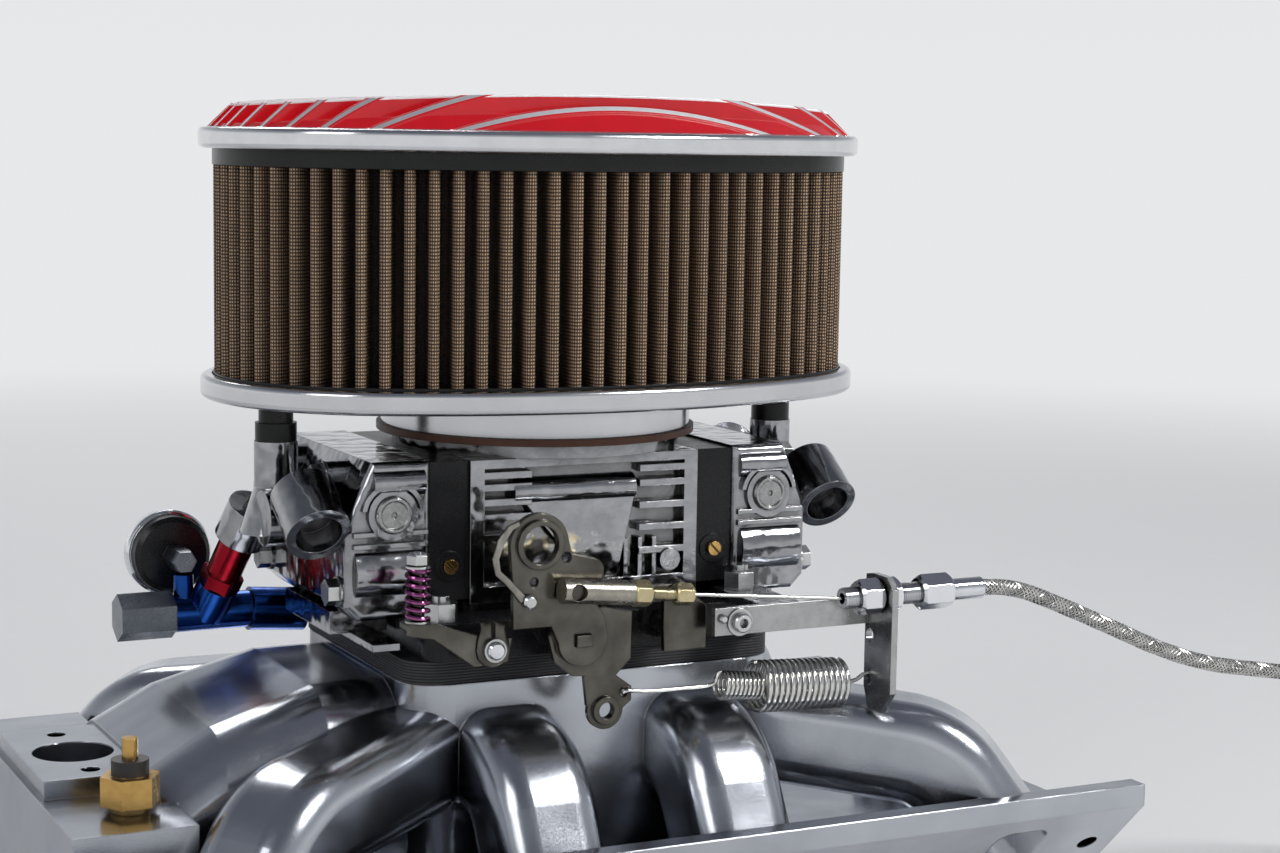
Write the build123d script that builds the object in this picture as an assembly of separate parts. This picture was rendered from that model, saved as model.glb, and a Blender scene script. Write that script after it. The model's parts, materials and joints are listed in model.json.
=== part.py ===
from build123d import *
import math
import os

# Induction assembly of a V8 engine: finned oval air cleaner, four-barrel carburettor with its throttle
# linkage, and the intake manifold that carries them. Millimetres, +X to the engine's rear, +Y to its right
# side, +Z up. The origin is on the surface that the manifold stands on, under the carburettor's centre.

# Heights, from the manifold's feet up
pad_z = 128.0              # manifold's carburettor pad
gasket_t = 10.0            # laminated heat-insulating gasket
flange_t = 16.0            # throttle body's stud flange
throttle_h = 20.0          # throttle body
main_h = 68.0              # main body, up to the air horn's lip
horn_lip = 6.0             # air horn's lip
ring_t = 3.0               # sealing ring on the air horn
neck_h = 14.0              # drop of the air cleaner base's neck
base_rim_h = 10.0          # rolled rim of the base
pan_t = 4.0                # floor of the base
element_h = 103.3          # pleated element with its seals
seal_t = 7.0               # rubber seal at each end of the element
lid_rim_h = 9.1            # polished rim of the lid
crown_h = 15.6             # lid's crown over its rim

# Air cleaner
oval_a = 153.0             # half length
oval_b = 98.0              # half width
oval_r = 84.0              # end radius
rim_round = 2.5
pan_wall = 5.0
horn_r = 65.0              # air horn
neck_gap = 5.0             # neck of the base around the air horn
neck_wall = 3.0
seal_inset = 6.0
seal_w = 38.0
pleat_inset = 6.5
pleat_band = 34.0
pleat_count = 85
pleat_depth = 7.5
lid_wall = 8.0
lid_skin = 3.0
crown_inset = 4.0          # ribs' feet inside the rim
rib_pitch = 12.0
rib_count = 15
rib_t = 3.0
rib_rise = 8.0             # ribs over the skin between them
rib_slope = 45.0           # slope of the ribs' ends
arch_r = 1700.0            # lengthwise arch of the crown
recess_r = 12.0            # well around the lid's nut
lid_stud_r = 3.2
lid_nut = (13.0, 6.0)      # across flats, height

# Carburettor flange
stud_dx = 142.9            # stud spacing along X
stud_dy = 131.0            # stud spacing along Y
stud_r = 4.0
stud_hole_r = 4.2
stud_end = 11.0            # stud over its nut's seat
stud_nut = (13.0, 8.0)
bore_r = 21.4              # throttle bore
bore_dx = 49.0             # primary to secondary bores
bore_dy = 47.0             # left to right bores
venturi_step = 2.5         # upper bores are this much smaller

# Manifold
flange_half_l = 240.0      # head flanges, half length
flange_outer_y = 145.0
flange_inner_y = 95.0
flange_low_z = 10.0
flange_slab_t = 14.0
flange_bolts = (15.0 - flange_half_l, -113.0, 0.0, 113.0, flange_half_l - 15.0)
flange_bolt_r = 5.0
valley_z = 32.0            # underside of the floor between the head flanges
valley_floor_t = 10.0
tower_x = 88.0
tower_y = 74.0
tower_corner = 20.0
port_x = (58.0 - flange_half_l, -44.0, 44.0, flange_half_l - 58.0)
port_w = 28.0
port_h = 38.0
port_corner = 8.0
port_depth = 24.0
port_up = 5.0              # ports over the middle of the flange, along its slope
runner_w = 46.0
runner_round = 14.0
runner_bend_r = 35.0
crossover_h = 88.0         # water crossover at the front
crossover_t = 50.0
rear_h = 50.0              # rear end wall
rear_t = 46.0
hood_corner = 28.0
hood_rows = [              # place along X, half width, top
    (-60.0, 62.0, 126.0),
    (-120.0, 66.0, 125.0),
    (75.0 - flange_half_l, 70.0, 112.0),
    (48.0 - flange_half_l, 72.0, 97.0),
]
outlet_r = 17.0
outlet_depth = 23.0
outlet_boss_h = 8.0
outlet_bolt_dy = 62.0
distributor_r = 17.0
distributor_wall = 10.0
distributor_h = 60.0
sender_y = -70.0

# Carburettor
body_x = 54.5              # main body, half length
body_y = 56.0              # main body, half width
frame_w = 6.5              # posts around the side pockets
pocket_depth = 5.0
wall_rib_t = 3.0
wall_rib_x = 26.0          # inner ends of the side ribs
front_ribs = (28.1, 36.8, 43.3, 49.8, 55.0)    # heights of the side ribs over the main body's underside
rear_ribs = (18.3, 28.7, 38.5, 48.4, 55.0)
bar_z = 47.0               # half-round bar over the main body's underside
bar_r = 6.0
block_t = 18.0             # metering block
bowl_t = 38.0              # float bowl, along X
bowl_drop = 4.0            # bowl's underside under the main body's
bowl_top_drop = 5.0        # bowl's top under the air horn's
bowl_round = 3.0
belly_r = 13.0
sight_x = 90.0
sight_drop = 22.0          # sight plugs under the bowl's top
sight_r = 8.0
boss_r = 11.0              # boss around a sight plug
port_boss_r = 14.0         # open fuel ports at the bowls' corners
port_bore_r = 10.0
screw_y = 47.0             # lower bowl screws
upper_screw_y = 28.0
shaft_r = 4.8
shaft_z = 12.0             # throttle shafts over the throttle body's underside
fit_gap = 0.05             # running clearance on a radius

# Linkage, from the primary shaft where a place is given as a pair
lever_y = -105.5           # mid-plane of the throttle lever
lever_t = 3.0
lower_t = 2.5              # black lower plate behind the lever
lever_ring = (-20.2, 41.6)
lever_ring_r = 13.0
ring_rise = 1.8
lever_lobe = (3.5, 29.0)
lobe_r = 5.6
hub_r = 11.0
tab_ring = (11.9, -31.3)
cable_y = -113.0
stud_pin = (-7.0, 22.3)    # cable stud
stud_pin_r = 3.5
spring_hole = (20.6, -24.8)
link_arm = (0.0, 15.5)     # link pins from their shafts
link_y = -94.0
link_t = 3.0
link_eye_r = 5.5
link_pin_r = 2.5
side_gap = 0.5             # between the link and its arms
wire_r = 0.8

# Cable and bracket
leg_x = 117.0
leg_t = 3.0
leg_w = 22.0
leg_low_z = 108.0
leg_high_z = 169.0
bracket_t = 4.0
arm_x0 = 39.0              # front end of the bracket's folded edge
arm_y = -101.0
cable_z = 160.0
cable_r = 3.7
spring_y = -106.0
spring_z = 123.0
hook_z = 121.0             # spring's hole in the bracket's leg

seat_z = pad_z + gasket_t                    # throttle body's underside
flange_z = seat_z + flange_t
main_z = seat_z + throttle_h
horn_z = main_z + main_h
ring_z = horn_z + ring_t
base_z = ring_z + neck_h
element_z = base_z + pan_t
lid_z = element_z + element_h
crown_z = lid_z + lid_rim_h
top_z = crown_z + crown_h
shaft_abs_z = seat_z + shaft_z
prim_x = -bore_dx / 2
sec_x = bore_dx / 2
bowl_in = body_x + block_t
bowl_out = bowl_in + bowl_t
bowl_low = main_z - bowl_drop
bowl_high = horn_z - bowl_top_drop
sight_z = bowl_high - sight_drop
outlet_x = -flange_half_l + 28.0
distributor_x = flange_half_l - 34.0
sender_x = -flange_half_l + 34.4


def block(x0, x1, y0, y1, z0, z1):
    return Pos((x0 + x1) / 2, (y0 + y1) / 2, (z0 + z1) / 2) * Box(x1 - x0, y1 - y0, z1 - z0)


def side_block(x0, x1, side, near, far, z0, z1):
    """A block on the side wall at -Y or +Y, between two distances from the centre plane."""
    y0, y1 = sorted((side * near, side * far))
    return block(x0, x1, y0, y1, z0, z1)


def rod(p, q, r):
    p, q = Vector(*p), Vector(*q)
    return extrude(Plane(origin=p, z_dir=q - p) * Circle(r), (q - p).length)


def cross_rod(x, z, y0, y1, r):
    return rod((x, y0, z), (x, y1, z), r)


def hex_rod(p, q, across):
    p, q = Vector(*p), Vector(*q)
    return extrude(Plane(origin=p, z_dir=q - p) * RegularPolygon(across / math.sqrt(3), 6), (q - p).length)


def hex_prism(across, height):
    return extrude(RegularPolygon(across / math.sqrt(3), 6), height)


def coned_nut(p, q, across):
    """A hexagon whose corners are turned off at both ends."""
    turned = rod(p, q, across / math.sqrt(3))
    turned = chamfer(turned.edges().filter_by(GeomType.CIRCLE), across / 8)
    return hex_rod(p, q, across) & turned


def slab(points, y0, y1):
    """A flat plate in the X-Z plane from its outline, between two Y values."""
    face = make_face(Polyline(*[(x, z) for x, z in points], close=True))
    return extrude(Plane(origin=(0, y0, 0), x_dir=(1, 0, 0), z_dir=(0, -1, 0)) * face, y0 - y1)


def coil_sleeve(p, q, r, bore, turns):
    """A close-wound spring as one turned sleeve with a ridge for each turn."""
    p, q = Vector(*p), Vector(*q)
    pitch = (q - p).length / turns
    groove = r - 0.45 * (r - bore)
    outline = [(bore, 0), (groove, 0)]
    for i in range(turns):
        outline += [(r, (i + 0.5) * pitch), (groove, (i + 1) * pitch)]
    outline.append((bore, turns * pitch))
    face = make_face(Polyline(*[(a, 0, b) for a, b in outline], close=True))
    return Plane(origin=p, z_dir=q - p) * revolve(face, Axis.Z)


def oval_face(a, b, r):
    """An oval of four tangent arcs, with end radius r."""
    side = ((a - r) ** 2 + b ** 2 - r ** 2) / (2 * (b - r))
    cx, cy = a - r, side - b
    k = side / math.hypot(cx, cy)
    tx, ty = cx * k, cy * k - cy
    arcs = [
        ThreePointArc((tx, -ty), (a, 0), (tx, ty)),
        ThreePointArc((tx, ty), (0, b), (-tx, ty)),
        ThreePointArc((-tx, ty), (-a, 0), (-tx, -ty)),
        ThreePointArc((-tx, -ty), (0, -b), (tx, -ty)),
    ]
    return make_face(arcs)


def oval_solid(inset, z0, z1, taper=0.0):
    face = oval_face(oval_a - inset, oval_b - inset, oval_r - inset)
    return Pos(0, 0, z0) * extrude(face, z1 - z0, taper=taper)


# Air cleaner
def crown(inset, height):
    body = oval_solid(inset, crown_z, crown_z + height, taper=rib_slope)
    arch = Pos(0, 0, crown_z + height - arch_r) * Rot(90, 0, 0) * Cylinder(arch_r, 2 * oval_b)
    return body & arch


def air_cleaner_lid():
    lid = fillet(oval_solid(0, lid_z, crown_z).edges(), rim_round)
    lid += crown(crown_inset + 1.0, crown_h - rib_rise)
    full = crown(crown_inset, crown_h)
    for i in range(rib_count):
        y = rib_pitch * (i - (rib_count - 1) / 2)
        lid += full & block(-oval_a, oval_a, y - rib_t / 2, y + rib_t / 2, crown_z - 1, top_z + 1)
    lid -= oval_solid(lid_wall, lid_z - 1, crown_z - lid_skin)
    lid -= Pos(0, 0, crown_z) * Cylinder(recess_r, 2 * crown_h + 2)
    lid += Pos(0, 0, crown_z) * Cylinder(recess_r + 1.0, pan_t)
    return lid - Pos(0, 0, crown_z) * Cylinder(lid_stud_r + 0.3, 2 * crown_h)


def centre_stud():
    stud = rod((0, 0, horn_z - 20), (0, 0, crown_z + 9), lid_stud_r)
    return stud + Pos(0, 0, crown_z + pan_t / 2) * hex_prism(*lid_nut)


def pleat_outline(inset, count, depth):
    """Points of the element's zigzag outline, evenly spaced along the oval."""
    wire = oval_face(oval_a - inset, oval_b - inset, oval_r - inset).face().outer_wire()
    points = []
    for i in range(2 * count):
        at = wire.position_at(i / (2 * count))
        tangent = wire.tangent_at(i / (2 * count))
        inward = Vector(-tangent.Y, tangent.X)
        points.append(at + inward * (depth if i % 2 else 0.0))
    return points


def filter_element():
    outline = pleat_outline(pleat_inset, pleat_count, pleat_depth)
    face = make_face(Polyline(*outline, close=True))
    z0, z1 = element_z + seal_t, element_z + element_h - seal_t
    ring = Pos(0, 0, z0) * extrude(face, z1 - z0)
    return ring - oval_solid(pleat_inset + pleat_band, z0 - 1, z1 + 1)


def element_seal(z0):
    z1 = z0 + seal_t
    return oval_solid(seal_inset, z0, z1) - oval_solid(seal_inset + seal_w, z0 - 1, z1 + 1)


def air_cleaner_base():
    rim = oval_solid(0.5, base_z, base_z + base_rim_h)
    rim = fillet(rim.edges(), rim_round)
    pan = rim - oval_solid(0.5 + pan_wall, element_z, base_z + base_rim_h + 1)
    neck_r = horn_r + neck_gap
    pan += Pos(0, 0, ring_z + neck_h / 2) * Cylinder(neck_r, neck_h)
    return pan - Pos(0, 0, ring_z + neck_h / 2) * Cylinder(neck_r - neck_wall, neck_h + 4 * pan_t)


def sealing_ring():
    ring = Pos(0, 0, horn_z + ring_t / 2) * Cylinder(horn_r + neck_gap + 2.0, ring_t)
    return ring - Pos(0, 0, horn_z + ring_t / 2) * Cylinder(horn_r - 4.0, ring_t + 1)


# Carburettor
def stud_places():
    return [(sx * stud_dx / 2, sy * stud_dy / 2) for sx in (-1, 1) for sy in (-1, 1)]


def bore_places():
    return [(sx * bore_dx / 2, sy * bore_dy / 2) for sx in (-1, 1) for sy in (-1, 1)]


def drilled(solid, places, r, z0, z1):
    for x, y in places:
        solid -= Pos(x, y, (z0 + z1) / 2) * Cylinder(r, z1 - z0)
    return solid


def plate(x, y, corner, z0, z1):
    return Pos(0, 0, z0) * extrude(RectangleRounded(2 * x, 2 * y, corner), z1 - z0)


def carb_gasket():
    solid = plate(stud_dx / 2 + 16.0, stud_dy / 2 + 7.0, 14.0, pad_z, seat_z)
    solid = drilled(solid, stud_places(), stud_hole_r, pad_z - 1, seat_z + 1)
    return drilled(solid, bore_places(), bore_r + 0.8, pad_z - 1, seat_z + 1)


def throttle_body():
    solid = plate(stud_dx / 2 + 9.0, stud_dy / 2 + 9.0, 9.0, seat_z, flange_z)
    solid += plate(body_x + 2.0, body_y - 4.0, 8.0, seat_z + 1, main_z)
    solid = drilled(solid, stud_places(), stud_hole_r, seat_z - 1, main_z + 1)
    solid = drilled(solid, bore_places(), bore_r, seat_z - 1, main_z + 1)
    for x in (prim_x, sec_x):
        solid += cross_rod(x, shaft_abs_z, -stud_dy / 2 - 14, -stud_dy / 2, shaft_r + 3.2)
        solid -= cross_rod(x, shaft_abs_z, -stud_dy / 2 - 55, stud_dy / 2 + 5, shaft_r + fit_gap)
    return solid


def side_wall(side):
    """What stands in the pocket on one side of the main body."""
    deep, flush = body_y - pocket_depth, body_y
    edge = body_x - frame_w + 1.0
    bar = rod((-34, side * deep, main_z + bar_z), (24, side * deep, main_z + bar_z), bar_r)
    vee = [(-30, 44), (24, 44), (17, 14), (10, 9), (4, 9), (-4, 14)]
    y0, y1 = sorted((side * (deep - 1), side * (flush - 1)))
    pieces = bar + slab([(x, main_z + z) for x, z in vee], y1, y0)
    for heights, x0, x1 in ((front_ribs, -edge, -wall_rib_x), (rear_ribs, wall_rib_x, edge)):
        for h in heights:
            z = main_z + h
            pieces += side_block(x0, x1, side, deep - 1, flush, z - wall_rib_t / 2, z + wall_rib_t / 2)
    for x in (20.0, 27.0, 34.0):
        pieces += side_block(x - 1, x + 1, side, deep - 1, flush - 1, main_z + 6, main_z + 24)
    return pieces + rod((41, side * (deep - 1), main_z + 13.6), (41, side * (flush + 1), main_z + 13.6), 5.0)


def main_body():
    solid = block(-body_x, body_x, -body_y, body_y, main_z, horn_z - horn_lip)
    x = body_x - frame_w
    for side in (-1, 1):
        deep = body_y - pocket_depth
        solid -= side_block(-x, x, side, deep, body_y + 1, main_z + 7, horn_z - horn_lip - 4)
        solid += side_wall(side)
    solid += Pos(0, 0, horn_z - horn_lip / 2) * Cylinder(horn_r, horn_lip)
    solid -= Pos(0, 0, horn_z - 8) * Cylinder(body_x - 4.5, 16.1)
    solid += block(-8, 8, -8, 8, horn_z - 17, horn_z - horn_lip)
    solid = drilled(solid, bore_places(), bore_r - venturi_step, main_z - 1, horn_z + 1)
    solid = drilled(solid, bore_places(), bore_r, main_z - 1, shaft_abs_z + bore_r + 1.5)
    return solid - rod((0, 0, horn_z - 20 - pan_t / 4), (0, 0, horn_z), lid_stud_r)


def metering_block(side):
    x0, x1 = sorted((side * body_x, side * bowl_in))
    solid = block(x0, x1, -body_y + 2, body_y - 2, main_z + 2, horn_z - horn_lip)
    x = side * (body_x + block_t / 2)
    for y in (-1, 1):
        solid += cross_rod(x, main_z + 17, y * (body_y - 3), y * (body_y - 1.2), 6.5)
    return solid


def float_bowl(side):
    profile = [
        (bowl_in, bowl_low), (bowl_out - 6, bowl_low), (bowl_out, bowl_low + 6),
        (bowl_out, bowl_high - 26), (bowl_out - 12, bowl_high), (bowl_in, bowl_high),
    ]
    solid = slab([(side * x, z) for x, z in profile], body_y, -body_y)
    ends = solid.faces().sort_by(Axis.Y)
    solid = fillet(ends[0].edges() + ends[-1].edges(), bowl_round)
    for y in (-1, 1):
        solid += bowl_side(side, y)
        solid += rod((side * (bowl_out - 14), y * upper_screw_y, bowl_high - 9),
                     (side * bowl_out, y * upper_screw_y, bowl_high - 9), 7.0)
    solid += vent_tower(side)
    for y in (-1, 1):
        if side < 0 < y:
            continue
        solid = open_port(solid, side, y)
    if side < 0:
        root = Vector(*inlet) - inlet_way() * 18
        solid += rod(tuple(root), inlet, 11.5)
        solid += rod((-bowl_out + 6, inlet[1] - 14, root.Z), tuple(root), 11.5)
    return solid


def bowl_side(side, y):
    """Top bar, belly, ledges and sight boss on one side of a float bowl."""
    def along(x0, x1, depth, z, r):
        return rod((side * x0, y * depth, z), (side * x1, y * depth, z), r)

    pieces = along(bowl_in + 3, bowl_out - 12, body_y - 3, bowl_high - 9, 6.0)
    pieces += along(bowl_in + 4, bowl_out - 4, body_y - 9, bowl_low + 20, belly_r)
    for z in (31.0, 36.0):
        x0, x1 = sorted((side * (bowl_in + 2), side * (bowl_out - 3)))
        pieces += side_block(x0, x1, y, body_y - 2, body_y + 2, bowl_low + z, bowl_low + z + 2)
    x = side * sight_x
    pieces += cross_rod(x, sight_z, y * (body_y - 2), y * (body_y + 2), boss_r)
    ridge = cross_rod(x, sight_z, y * (body_y - 2), y * (body_y + 2.5), boss_r + 3)
    ridge -= cross_rod(x, sight_z, y * (body_y - 3), y * (body_y + 3), boss_r + 1)
    return pieces + (ridge & block(x - 20, x + 20, -90, 90, sight_z + 2, sight_z + 20))


def vent_tower(side):
    """Bowl vent: a flared tower with a web to the bowl and a round boss beside it."""
    x = side * (bowl_out + 12)
    z = bowl_high - 16
    tower = Pos(x, 0, z + 10) * Cylinder(9.5, 20)
    tower += Pos(x, 0, z - 10) * Cone(16, 9.5, 20)
    web = [(bowl_out - 6, z - 34), (bowl_out + 14, z - 20), (bowl_out + 14, z), (bowl_out - 6, z)]
    tower += slab([(side * a, b) for a, b in web], 5.0, -5.0)
    seat = (side * (bowl_out - 4), side * 12, sight_z - 6)
    return tower + rod(seat, (side * (bowl_out + 22), *seat[1:]), 12.0)


def open_port(solid, side, y):
    """Open fuel port at a corner of a bowl, aimed outwards and down."""
    way = Vector(0, y * 0.82, -0.57)
    face = Vector(side * (bowl_out + 11.5), y * body_y, main_z + 34)
    solid += rod(tuple(face - way * 26), tuple(face), port_boss_r)
    return solid - rod(tuple(face - way * 12), tuple(face + way), port_bore_r)


def sight_plugs(side):
    x = side * sight_x
    near = cross_rod(x, sight_z, -body_y - 2, -body_y - 4, sight_r)
    return near + cross_rod(x, sight_z, body_y + 2, body_y + 4, sight_r)


def vent_cap(side):
    x = side * (bowl_out + 12)
    z = bowl_high + 4
    return rod((x, 0, z), (x, 0, z + 8), 9.0) + rod((x, 0, z + 8), (x, 0, base_z - 0.5), 7.5)


def mixture_screws(side):
    x = side * (body_x + block_t / 2)
    near = cross_rod(x, main_z + 17, -body_y + 1.2, -body_y - 1, 3.2)
    return near + cross_rod(x, main_z + 17, body_y - 1.2, body_y + 1, 3.2)


def bowl_screws(side):
    screws = []
    for y, z in ((screw_y, main_z + 8), (upper_screw_y, bowl_high - 9)):
        for way in (-1, 1):
            seat, head = (side * bowl_out, way * y, z), (side * (bowl_out + 1), way * y, z)
            screws.append(rod(seat, head, 6.5) + hex_rod(head, (side * (bowl_out + 6), way * y, z), 10.0))
    return Compound(children=screws)


def pump_housing(side):
    inner = stud_dx / 2 + 11
    x0, x1 = sorted((side * inner, side * (inner + bowl_t - 12)))
    solid = block(x0, x1, -30, 30, bowl_low - 10, bowl_low)
    x2, x3 = sorted((side * (inner + 6), side * (inner + 18)))
    return solid + block(x2, x3, -62, -20, bowl_low - 12, bowl_low - 9)


def stud_nuts():
    nuts = []
    for x, y in stud_places():
        z = flange_z + (bracket_t if x > 0 and y < 0 else 0.0)
        nut = Pos(x, y, z) * hex_prism(*stud_nut)
        nuts.append(nut + Pos(x, y, (pad_z + z + stud_end) / 2) * Cylinder(stud_r, z + stud_end - pad_z))
    return Compound(children=nuts)


# Throttle linkage
lever_front = lever_y - lever_t / 2
lever_back = lever_y + lever_t / 2
lower_back = lever_back + lower_t


def at_shaft(points, x=prim_x):
    return [(x + a, shaft_abs_z + b) for a, b in points]


def shaft(x, y0, y1):
    solid = cross_rod(x, shaft_abs_z, y0, y1, shaft_r)
    for y in (-bore_dy / 2, bore_dy / 2):
        solid += rod((x, y, shaft_abs_z - 1), (x, y, shaft_abs_z + 1), bore_r - 0.4)
    return solid


def shaft_key():
    x, z = prim_x, shaft_abs_z
    return block(x - 3.5, x + 3.5, lever_front - 2, lower_back, z - 2.5, z + 2.5)


def throttle_lever():
    x, z = prim_x, shaft_abs_z
    ring_place = (x + lever_ring[0], z + lever_ring[1])
    r = lever_ring_r
    outline = [(lever_ring[0] - r, lever_ring[1]), (-32, 26), (-31.5, 7), (-14.5, 7), (-9.5, -4), (4.5, -9),
               (11.5, 0), (9.5, 10), (0.5, 22.5), (lever_lobe[0], lever_lobe[1] - lobe_r),
               (lever_lobe[0], lever_lobe[1] + lobe_r), (-5.5, 37), (-9, 48.5)]
    solid = slab(at_shaft(outline), lever_back, lever_front)
    solid += cross_rod(*ring_place, lever_back, lever_front, r)
    solid += cross_rod(x + lever_lobe[0], z + lever_lobe[1], lever_back, lever_front, lobe_r)
    solid += cross_rod(x, z, lever_back, lever_front, hub_r)
    solid += cross_rod(*ring_place, lever_front, lever_front - ring_rise, r - 2.7)
    solid += block(x - 31.5, x - 14.5, lever_front, lower_back + 0.5, z + 7, z + 10)
    lower = [(-14.5, 2), (-11.5, -9), (-3.5, -15.5), (16.5, -17),
             (23.5, -10), (23.8, 10), (10.5, 13), (-5.5, 10)]
    tab = [(1.9, -16), (3.5, -29), (tab_ring[0] + 8, tab_ring[1]), (24, -28), (24, -22), (15.8, -16)]
    solid += slab(at_shaft(lower), lower_back, lever_back)
    solid += slab(at_shaft(tab), lower_back, lever_back)
    tab_x, tab_z = x + tab_ring[0], z + tab_ring[1]
    solid += cross_rod(tab_x, tab_z, lower_back, lever_back, 8.2)
    solid += cross_rod(tab_x, tab_z, lever_back, lever_back - ring_rise, 6.0)
    holes = [(*lever_ring, r - 5), (-8, 35.5, 2.3), (-22.5, 26, 2.0), (*tab_ring, 3.5), (*spring_hole, 1.6)]
    for a, b, hole_r in holes:
        solid -= cross_rod(x + a, z + b, lower_back + 1, lever_front - ring_rise - 1, hole_r)
    pin = (x + stud_pin[0], z + stud_pin[1])
    solid += cross_rod(*pin, lever_front + 1, cable_y - 2.5, stud_pin_r)
    return solid - shaft_key()


def link_end(x, outline):
    """Arm and headed pin that carry one end of the link, on a throttle shaft's end."""
    arm_x, arm_z = x + link_arm[0], shaft_abs_z + link_arm[1]
    back, front = link_y + link_t, link_y
    solid = slab(at_shaft(outline, x), back, front)
    solid += cross_rod(arm_x, arm_z, back, front, link_eye_r)
    head = front - link_t - 2 * side_gap
    solid += cross_rod(arm_x, arm_z, front + 1, head, link_pin_r)
    return solid + cross_rod(arm_x, arm_z, head, head - 1.5, link_pin_r + 2)


def primary_shaft():
    solid = shaft(prim_x, stud_dy / 2 + 2, lower_back)
    solid += cross_rod(prim_x, shaft_abs_z, link_y + link_t, link_y, 8.0)
    top = link_arm[1]
    return solid + link_end(prim_x, [(-5, 0), (5, 0), (5, top), (-5, top)]) + shaft_key()


def secondary_shaft():
    solid = shaft(sec_x, stud_dy / 2 + 2, link_y)
    top = link_arm[1]
    return solid + link_end(sec_x, [(-4.5, -11), (15.5, -11), (15.5, 8), (5.5, top), (-5, top), (-5, 0)])


def throttle_link():
    z = shaft_abs_z + link_arm[1]
    x0, x1 = prim_x + link_arm[0], sec_x + link_arm[0]
    back, front = link_y - side_gap, link_y - side_gap - link_t
    solid = block(x0, x1, front, back, z - 3.5, z + 3.5)
    for x in (x0, x1):
        solid += cross_rod(x, z, back, front, link_eye_r - 0.5)
    for x in (x0, x1):
        solid -= cross_rod(x, z, back + 1, front - 1, link_pin_r + fit_gap)
    return solid


def barrel_line():
    """Start and direction of the cable's end barrel, from the stud to the clamp fitting's mouth."""
    start = Vector(prim_x + stud_pin[0], cable_y, shaft_abs_z + stud_pin[1])
    end = Vector(leg_x - 20, cable_y, cable_z)
    return start, (end - start).normalized(), (end - start).length


def cable_barrel():
    start, way, _ = barrel_line()

    def at(distance):
        return tuple(start + way * distance)

    body = rod(at(-6), at(26), 5.2) + coned_nut(at(26), at(34.4), 10.0)
    body += rod(at(34.4), at(46), 2.6) + coned_nut(at(46), at(54.5), 8.5)
    return body - cross_rod(start.X, start.Z, cable_y - 7, cable_y + 7, stud_pin_r + fit_gap)


def cable_wire():
    start, way, length = barrel_line()
    return rod(tuple(start + way * 54.5), tuple(start + way * (length + 8)), wire_r)


# Cable bracket, fittings and cable
def cable_bracket():
    x, y = stud_dx / 2, -stud_dy / 2
    z = flange_z
    leg_y0, leg_y1 = cable_y - leg_w / 2, cable_y + leg_w / 2
    solid = block(x - 9.5, x + 10.5, y - 8.5, y + 8.5, z, z + bracket_t)
    solid += block(x - 9.5, x + 10.5, arm_y, y, z, z + bracket_t)
    solid += block(arm_x0, leg_x, arm_y - 3, arm_y, z - 8, z + bracket_t)
    outline = [(leg_y1, z + 14), (leg_y1, leg_low_z + 10), (leg_y1 - 4, leg_low_z), (leg_y0 + 8, leg_low_z),
               (leg_y0, leg_low_z + 10), (leg_y0, leg_high_z - 5), (leg_y0 + 5, leg_high_z),
               (leg_y1 - 5, leg_high_z)]
    left = leg_x - leg_t / 2
    face = make_face(Polyline(*[(left, a, b) for a, b in outline], close=True))
    solid += extrude(face, leg_t, dir=(1, 0, 0))
    solid -= rod((leg_x - 5, cable_y, cable_z), (leg_x + 5, cable_y, cable_z), 4.6)
    solid -= rod((leg_x - 5, spring_y, hook_z), (leg_x + 5, spring_y, hook_z), 2.2)
    solid -= rod((leg_x - 5, spring_y, hook_z + 20), (leg_x + 5, spring_y, hook_z + 20), 3.0)
    return solid - Pos(x, y, z) * Cylinder(stud_hole_r, 20)


def clamp_fitting():
    def run(x0, x1, r):
        return rod((x0, cable_y, cable_z), (x1, cable_y, cable_z), r)

    def nut(x0, x1, across):
        return coned_nut((x0, cable_y, cable_z), (x1, cable_y, cable_z), across)

    left, right = leg_x - leg_t / 2, leg_x + leg_t / 2
    solid = run(left - 19, right + 33, 4.5) + nut(left - 12, left, 14.0) + nut(right, right + 6, 14.0)
    solid += nut(right + 16.5, right + 33, 14.0) + run(right + 33, cable_exit[0], 5.0)
    return solid - run(left - 21, right + 12, 2.4)


cable_exit = (168.0, cable_y, cable_z)
cable_points = [
    cable_exit, (184, -113, 160), (212, -113, 149), (241, -113, 136.5), (270, -113, 123.5),
    (300, -113, 113.5), (331, -113, 108.5), (363, -113, 103), (392, -112, 91), (417, -115, 69),
    (436, -122, 45), (452, -134, 23), (466, -153, 9), (470, -179, 4.2), (460, -205, 3.8), (438, -223, 3.8),
    (409, -229, 3.9), (381, -222, 3.9), (359, -203, 3.9), (347, -177, 4.2), (347, -149, 5.2),
]


def cable():
    path_radii = []
    points = [Vector(*p) for p in cable_points]
    for a, b, c in zip(points, points[1:], points[2:]):
        turn = math.radians((b - a).get_angle(c - b))
        path_radii.append(0.45 * min((b - a).length, (c - b).length) / math.tan(turn / 2))
    print("cable radii", [round(r, 1) for r in path_radii])
    path = FilletPolyline(*points, radius=path_radii)
    first = points[1] - points[0]
    tube = sweep(Plane(origin=points[0], z_dir=first) * Circle(cable_r), path=path)
    share = tube.volume / (math.pi * cable_r ** 2 * path.length)
    print("cable length", round(path.length, 1), "volume share", round(share, 4))
    return tube


def cable_end_fitting():
    a, b = Vector(*cable_points[-2]), Vector(*cable_points[-1])
    way = (b - a).normalized()
    solid = rod(tuple(b), tuple(b + way * 22), cable_r + 0.25)
    return solid + rod(tuple(b + way * 22), tuple(b + way * 30), 3.0)


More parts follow.
